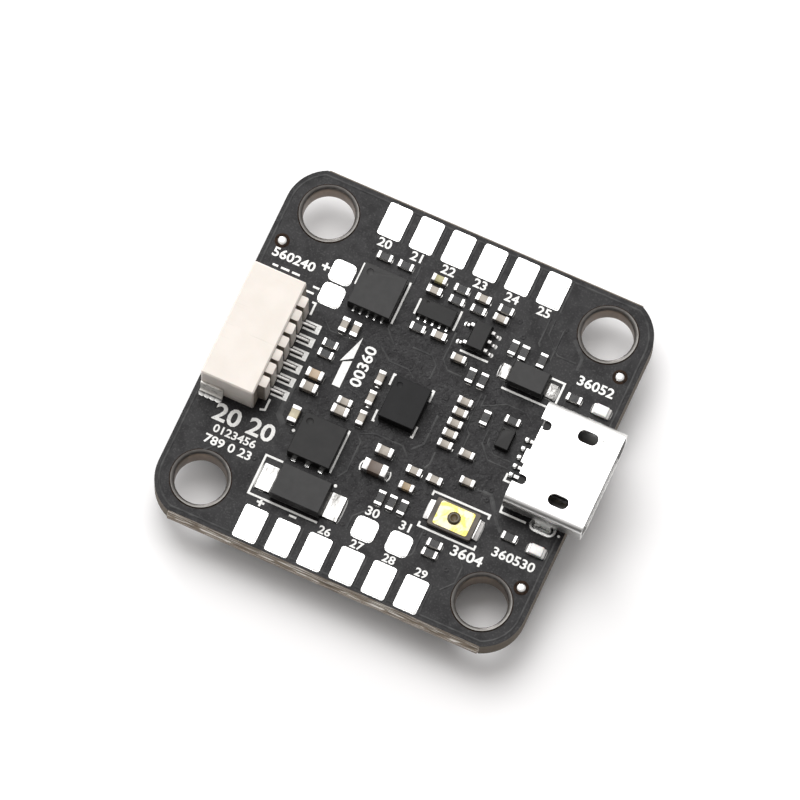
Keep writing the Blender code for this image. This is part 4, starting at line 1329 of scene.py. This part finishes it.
# Centre x, centre y, radius of the printed dots
DOTS = ((-5.9, -4.5, 0.12), (-1.85, -6.8, 0.12), (12.7, -3.9, 0.1))


def outlines(bm):
    """The lines and dots of the component side."""
    for points in OUTLINES:
        ink_line(bm, *points)
    for x, foot in ((-1.53, 0.14), (1.3, -0.14)):
        for side in (-1, 1):
            ink_line(bm, (x, side * 0.93), (x, side * 1.72), (x + foot, side * 1.72))
    for side in (-1, 1):
        middle = 90 - side * 90
        ink_line(bm, *arc(0.06 + side * 0.45, -4.8, 0.6, middle - 35, middle + 35, 6), width=0.1)
    for x, y, radius in DOTS:
        disc(bm, x, y, radius, INK_LOW, INK_HIGH, 0.01, 12)


def heading_arrow(bm):
    """The half arrow that points to the front edge."""
    shaft = [(-4.95, -0.6), (-4.4, -0.6), (-4.4, 1.4), (-4.95, 1.12)]
    head = [(-5.15, 1.1), (-4.98, 1.22), (-4.4, 1.6), (-4.42, 3.15)]
    for outline in (shaft, head):
        stack(bm, [(outline, INK_LOW), (outline, INK_HIGH)])


def terminal_numbers(bm, pads):
    """Numbers beside the solder pads."""
    number = FIRST_TERMINAL
    for left in from_left(pads["front_pads"]):
        ink_digits(bm, f"{number:02d}", left + HALF_PAD, 9.68, 0.64)
        number += 1
    signs = [True, False]
    for left in from_left(pads["rear_pads"]):
        if signs:
            ink_sign(bm, left + HALF_PAD, -9.86, 0.26, signs.pop(0))
        else:
            ink_digits(bm, f"{number:02d}", left + HALF_PAD, -9.88, 0.58)
            number += 1
    for x in (1.1, 3.4):
        ink_digits(bm, f"{number:02d}", x, -7.42, 0.64)
        number += 1
    ink_sign(bm, -8.65, 6.6, 0.28, True)


HOLE_SPACING = round(2 * HOLE_REACH)
# Plain numerals beside the connectors, the lamps and the switch: text, centre x, centre y, height
NUMERALS = (
    ("560240", -10.75, 6.2, 0.68),
    ("36052", 10.75, 6.4, 0.7),
    ("360530", 10.7, -6.55, 0.68),
    ("3604", 7.85, -7.58, 0.76),
    (f"{HOLE_SPACING} {HOLE_SPACING}", -9.0, -5.35, 1.25),
    ("0123456", -9.2, -6.45, 0.58),
    ("789 0 23", -9.3, -7.3, 0.64),
)


def numerals(bm):
    """The plain numerals of the component side; those beside the arrow run along Y."""
    ink_digits(bm, "00360", -3.6, 1.35, 0.8, 90)
    for numeral in NUMERALS:
        ink_digits(bm, *numeral)


def processor_corners(bm):
    """Corner marks round the processor, and the dot at its first lead."""
    low, high = box_mm("main_processor")
    margin, arm = 0.35, 1.0
    x0, y0, x1, y1 = low.x - margin, -high.y - margin, high.x + margin, -low.y + margin
    for x, y, dx, dy in ((x0, y0, 1, 1), (x1, y0, -1, 1), (x1, y1, -1, -1), (x0, y1, 1, -1)):
        ink_line(bm, (x + dx * arm, y), (x, y), (x, y + dy * arm))
    disc(bm, x0 - 0.4, y1 - 0.3, 0.2, INK_LOW, INK_HIGH, 0.01, 16)


def crystal_frame(bm):
    """The frame round the crystal."""
    _, _, middle = place_mm("clock_crystal")
    hoop(bm, rounded(middle.x, -middle.y, 3.0, 3.7, 0.1, 1), LINE, INK_LOW, INK_HIGH)


def make_legend(pads):
    """The white legend on both sides."""
    bm = bmesh.new()
    pin_surrounds(bm)
    outlines(bm)
    heading_arrow(bm)
    terminal_numbers(bm, pads)
    numerals(bm)
    below = bmesh.new()
    processor_corners(below)
    crystal_frame(below)
    number = 1
    for name, y in (("rear_pads", 9.7), ("front_pads", -9.6)):
        for left in from_left(pads[name]):
            ink_digits(below, f"{number:02d}", left + HALF_PAD, y, 0.62)
            number += 1
    add_pair("legend", bm, below, ["ink"], smooth=False)


# ---------------------------------------------------------------- studio

CAMERA_AZIMUTH = 22.17
CAMERA_ELEVATION = 71.84
CAMERA_ROLL = 2.4
CAMERA_DISTANCE = 649.75
CAMERA_TARGET = (-0.475, 0.28, 0.8)
CAMERA_LENS = 450.0
FLOOR_GAP = 0.5
# Azimuth, elevation, distance, size and power of each lamp
LAMPS = {
    "key_light": (215, 62, 900, 650, 5.3),
    "low_light": (215, 17, 900, 300, 2.8),
}
WORLD_COLOUR = (1.0, 0.978, 0.962, 1.0)
WORLD_STRENGTH = (0.09, 1.13)  # away from the bright side, and towards it
BRIGHT_SIDE = (-0.3, 0.55, 0.78)


def direction(azimuth, elevation):
    """Unit vector to the viewer; azimuth 0 looks along +Y."""
    a, e = math.radians(azimuth), math.radians(elevation)
    return Vector((math.sin(a) * math.cos(e), -math.cos(a) * math.cos(e), math.sin(e)))


def make_camera():
    """A long lens that looks down on the component side."""
    data = bpy.data.cameras.new("camera")
    data.lens = CAMERA_LENS
    data.clip_start, data.clip_end = 0.01, 10.0
    camera = linked("camera", data)
    back = direction(CAMERA_AZIMUTH, CAMERA_ELEVATION)
    camera.location = (Vector(CAMERA_TARGET) + back * CAMERA_DISTANCE) * MM
    upright = (-back).to_track_quat("-Z", "Y").to_matrix()
    roll = Matrix.Rotation(math.radians(CAMERA_ROLL), 3, "Z")
    camera.rotation_euler = (upright @ roll).to_euler()
    bpy.context.scene.camera = camera


def softbox(name, azimuth, elevation, distance, size, power):
    """A square area lamp aimed at the board."""
    data = bpy.data.lights.new(name, "AREA")
    data.shape = "SQUARE"
    data.size = size * MM
    data.energy = power
    lamp = linked(name, data)
    away = direction(azimuth, elevation)
    lamp.location = away * distance * MM
    lamp.rotation_euler = away.to_track_quat("Z", "Y").to_euler()


def make_world():
    """Pale surroundings, brighter above and behind the board."""
    world = bpy.data.worlds.new("studio")
    graph = Graph(world)
    toward = graph.add("ShaderNodeTexCoord").outputs["Generated"]
    along = graph.add("ShaderNodeVectorMath", {0: toward, 1: BRIGHT_SIDE}, operation="DOT_PRODUCT")
    low, high = WORLD_STRENGTH
    inputs = {"Value": along.outputs["Value"], "To Min": low, "To Max": high}
    shade = graph.tree.nodes["Background"]
    graph.feed(shade.inputs["Color"], WORLD_COLOUR)
    graph.feed(shade.inputs["Strength"], graph.add("ShaderNodeMapRange", inputs).outputs["Result"])
    bpy.context.scene.world = world


def make_floor():
    """A plain pale floor under the lowest part."""
    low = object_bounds()[0].z - FLOOR_GAP * MM
    half = 600.0 * MM
    mesh = bpy.data.meshes.new("floor")
    corners = [(-half, -half, low), (half, -half, low), (half, half, low), (-half, half, low)]
    mesh.from_pydata(corners, [], [(0, 1, 2, 3)])
    finish = Finish("floor_paper")
    finish.set("Roughness", 0.7)
    finish.tint(finish.noise(8.0, 3.0), (0.96, 0.955, 0.96), (0.94, 0.94, 0.945))
    mesh.materials.append(finish.material)
    linked("floor", mesh)


def main():
    paint_laminate()
    pads = make_pads()
    make_plated_holes()
    make_fiducials()
    make_relief(pads)
    make_vias(pads)
    make_torn_fibres()
    solder, under_solder = make_chip_parts()
    dress_passives(solder)
    make_side_lands()
    dress_chips()
    dress_leaded(solder, under_solder)
    beads = dress_usb()
    dress_socket(solder)
    dress_switch(solder)
    dress_lamps(solder)
    dress("clock_crystal", "steel", 0.05, 3)
    add_pair("solder_joints", solder, under_solder, ["solder"], smooth=True)
    add_piece("usb_leg_solder", beads, ["solder"], smooth=True)
    make_legend(pads)
    make_floor()
    make_world()
    for name, setting in LAMPS.items():
        softbox(name, *setting)
    make_camera()
    bpy.context.scene.view_settings.view_transform = "Standard"


main()
